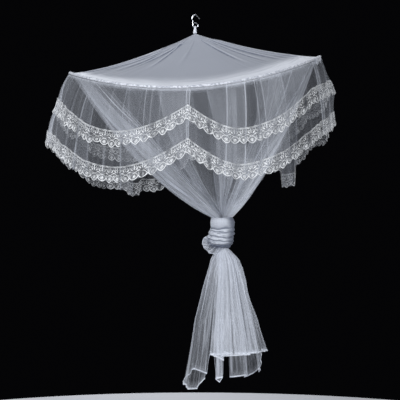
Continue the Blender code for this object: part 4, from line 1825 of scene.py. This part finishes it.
# %% The loop of the knot
LOOP = table(  # places along the loop: on the knot (x, y, z) and at its outer fold (x, z)
    "x y z out_x out_z",
    (0.0580, -0.012, -0.8900, 0.0500, -0.8890),
    (0.0560, -0.022, -0.8990, 0.0370, -0.8955),
    (0.0570, -0.030, -0.9080, 0.0290, -0.9090),
    (0.0600, -0.036, -0.9160, 0.0300, -0.9250),
    (0.0680, -0.040, -0.9240, 0.0385, -0.9420),
    (0.0780, -0.042, -0.9300, 0.0520, -0.9550),
    (0.0890, -0.042, -0.9330, 0.0680, -0.9625),
    (0.1000, -0.040, -0.9335, 0.0830, -0.9640),
    (0.1120, -0.037, -0.9320, 0.0980, -0.9560),
    (0.1260, -0.030, -0.9290, 0.1180, -0.9440),
    (0.1380, -0.020, -0.9260, 0.1370, -0.9330),
)
LOOP_COLUMNS = 120
LOOP_STEPS = 28
RUFFLE_REACH = (0.90, 0.13)  # share of the loop's reach, and how much of it a ruffle changes
RUFFLE_OUT = 0.0022
LOOP_FORWARD = 0.012
LOOP_DEPTH = 0.009  # between its two layers, in the middle, and what is left at its ends
LOOP_LEAST = 0.002
LOOP_LENGTH = 0.2  # of the flat cloth, along the loop
LOOP_ROW = 0.003


def loop_at(share):
    """Every column of the loop's table at a share of its length, on a smooth curve."""
    place = share * (len(LOOP) - 1)
    index = min(int(place), len(LOOP) - 2)
    part = place - index
    rows = [LOOP[min(max(index + step, 0), len(LOOP) - 1)] for step in (-1, 0, 1, 2)]
    values = {}
    for key in LOOP[0]:
        a, b, c, d = (row[key] for row in rows)
        bend = (2 * a - 5 * b + 4 * c - d) * part**2 + (3 * b - a - 3 * c + d) * part**3
        values[key] = 0.5 * (2 * b + (c - a) * part + bend)
    return values


def loop_station(column, row):
    """Two layers that meet in the outer fold, both tucked into the knot at their inner edge."""
    share = column / LOOP_COLUMNS
    place = loop_at(share)
    turn = math.pi * row / LOOP_STEPS
    out = math.sin(turn) ** 0.7
    ruffle = 0.5 + 0.9 * grain(share * 16, 0.4 * out, 2.0)
    reach = out * (RUFFLE_REACH[0] + RUFFLE_REACH[1] * ruffle)
    x = place["x"] + (place["out_x"] - place["x"]) * reach
    z = place["z"] + (place["out_z"] - place["z"]) * reach
    thick = LOOP_DEPTH * math.sin(math.pi * min(share * 1.3 + 0.12, 1.0)) + LOOP_LEAST
    y = place["y"] + LOOP_FORWARD * out - thick * math.cos(turn) * (0.6 + 0.4 * out)
    y -= RUFFLE_OUT * (ruffle - 0.5) * out
    fold = bump_at(out, 1.0, 0.10)
    gathered = bump_at(grain(share * 34 + 2 * out, 1.2 * out, 7.0), 0.0, 0.07)
    cover = 0.18 + 0.20 * ruffle + 0.60 * fold + 0.50 * gathered
    # painted shade: darker towards the knot, where the loop tucks in, and in the ruffles' hollows
    shade = 0.75 * smooth_step((0.6 - out) / 0.6) + 0.35 * (1 - ruffle) * (1 - fold)
    return Vector((x, y, z)), cover, (share * LOOP_LENGTH, row * LOOP_ROW), shade


def make_loop():
    loop = cloth_sheet("curtain_knot_loop", LOOP_COLUMNS, LOOP_STEPS, loop_station, "net",
                       turned=True)
    stand_for(loop, "curtain")
    print("loop area", round(area_of(loop), 4))
    return loop


loop = make_loop()
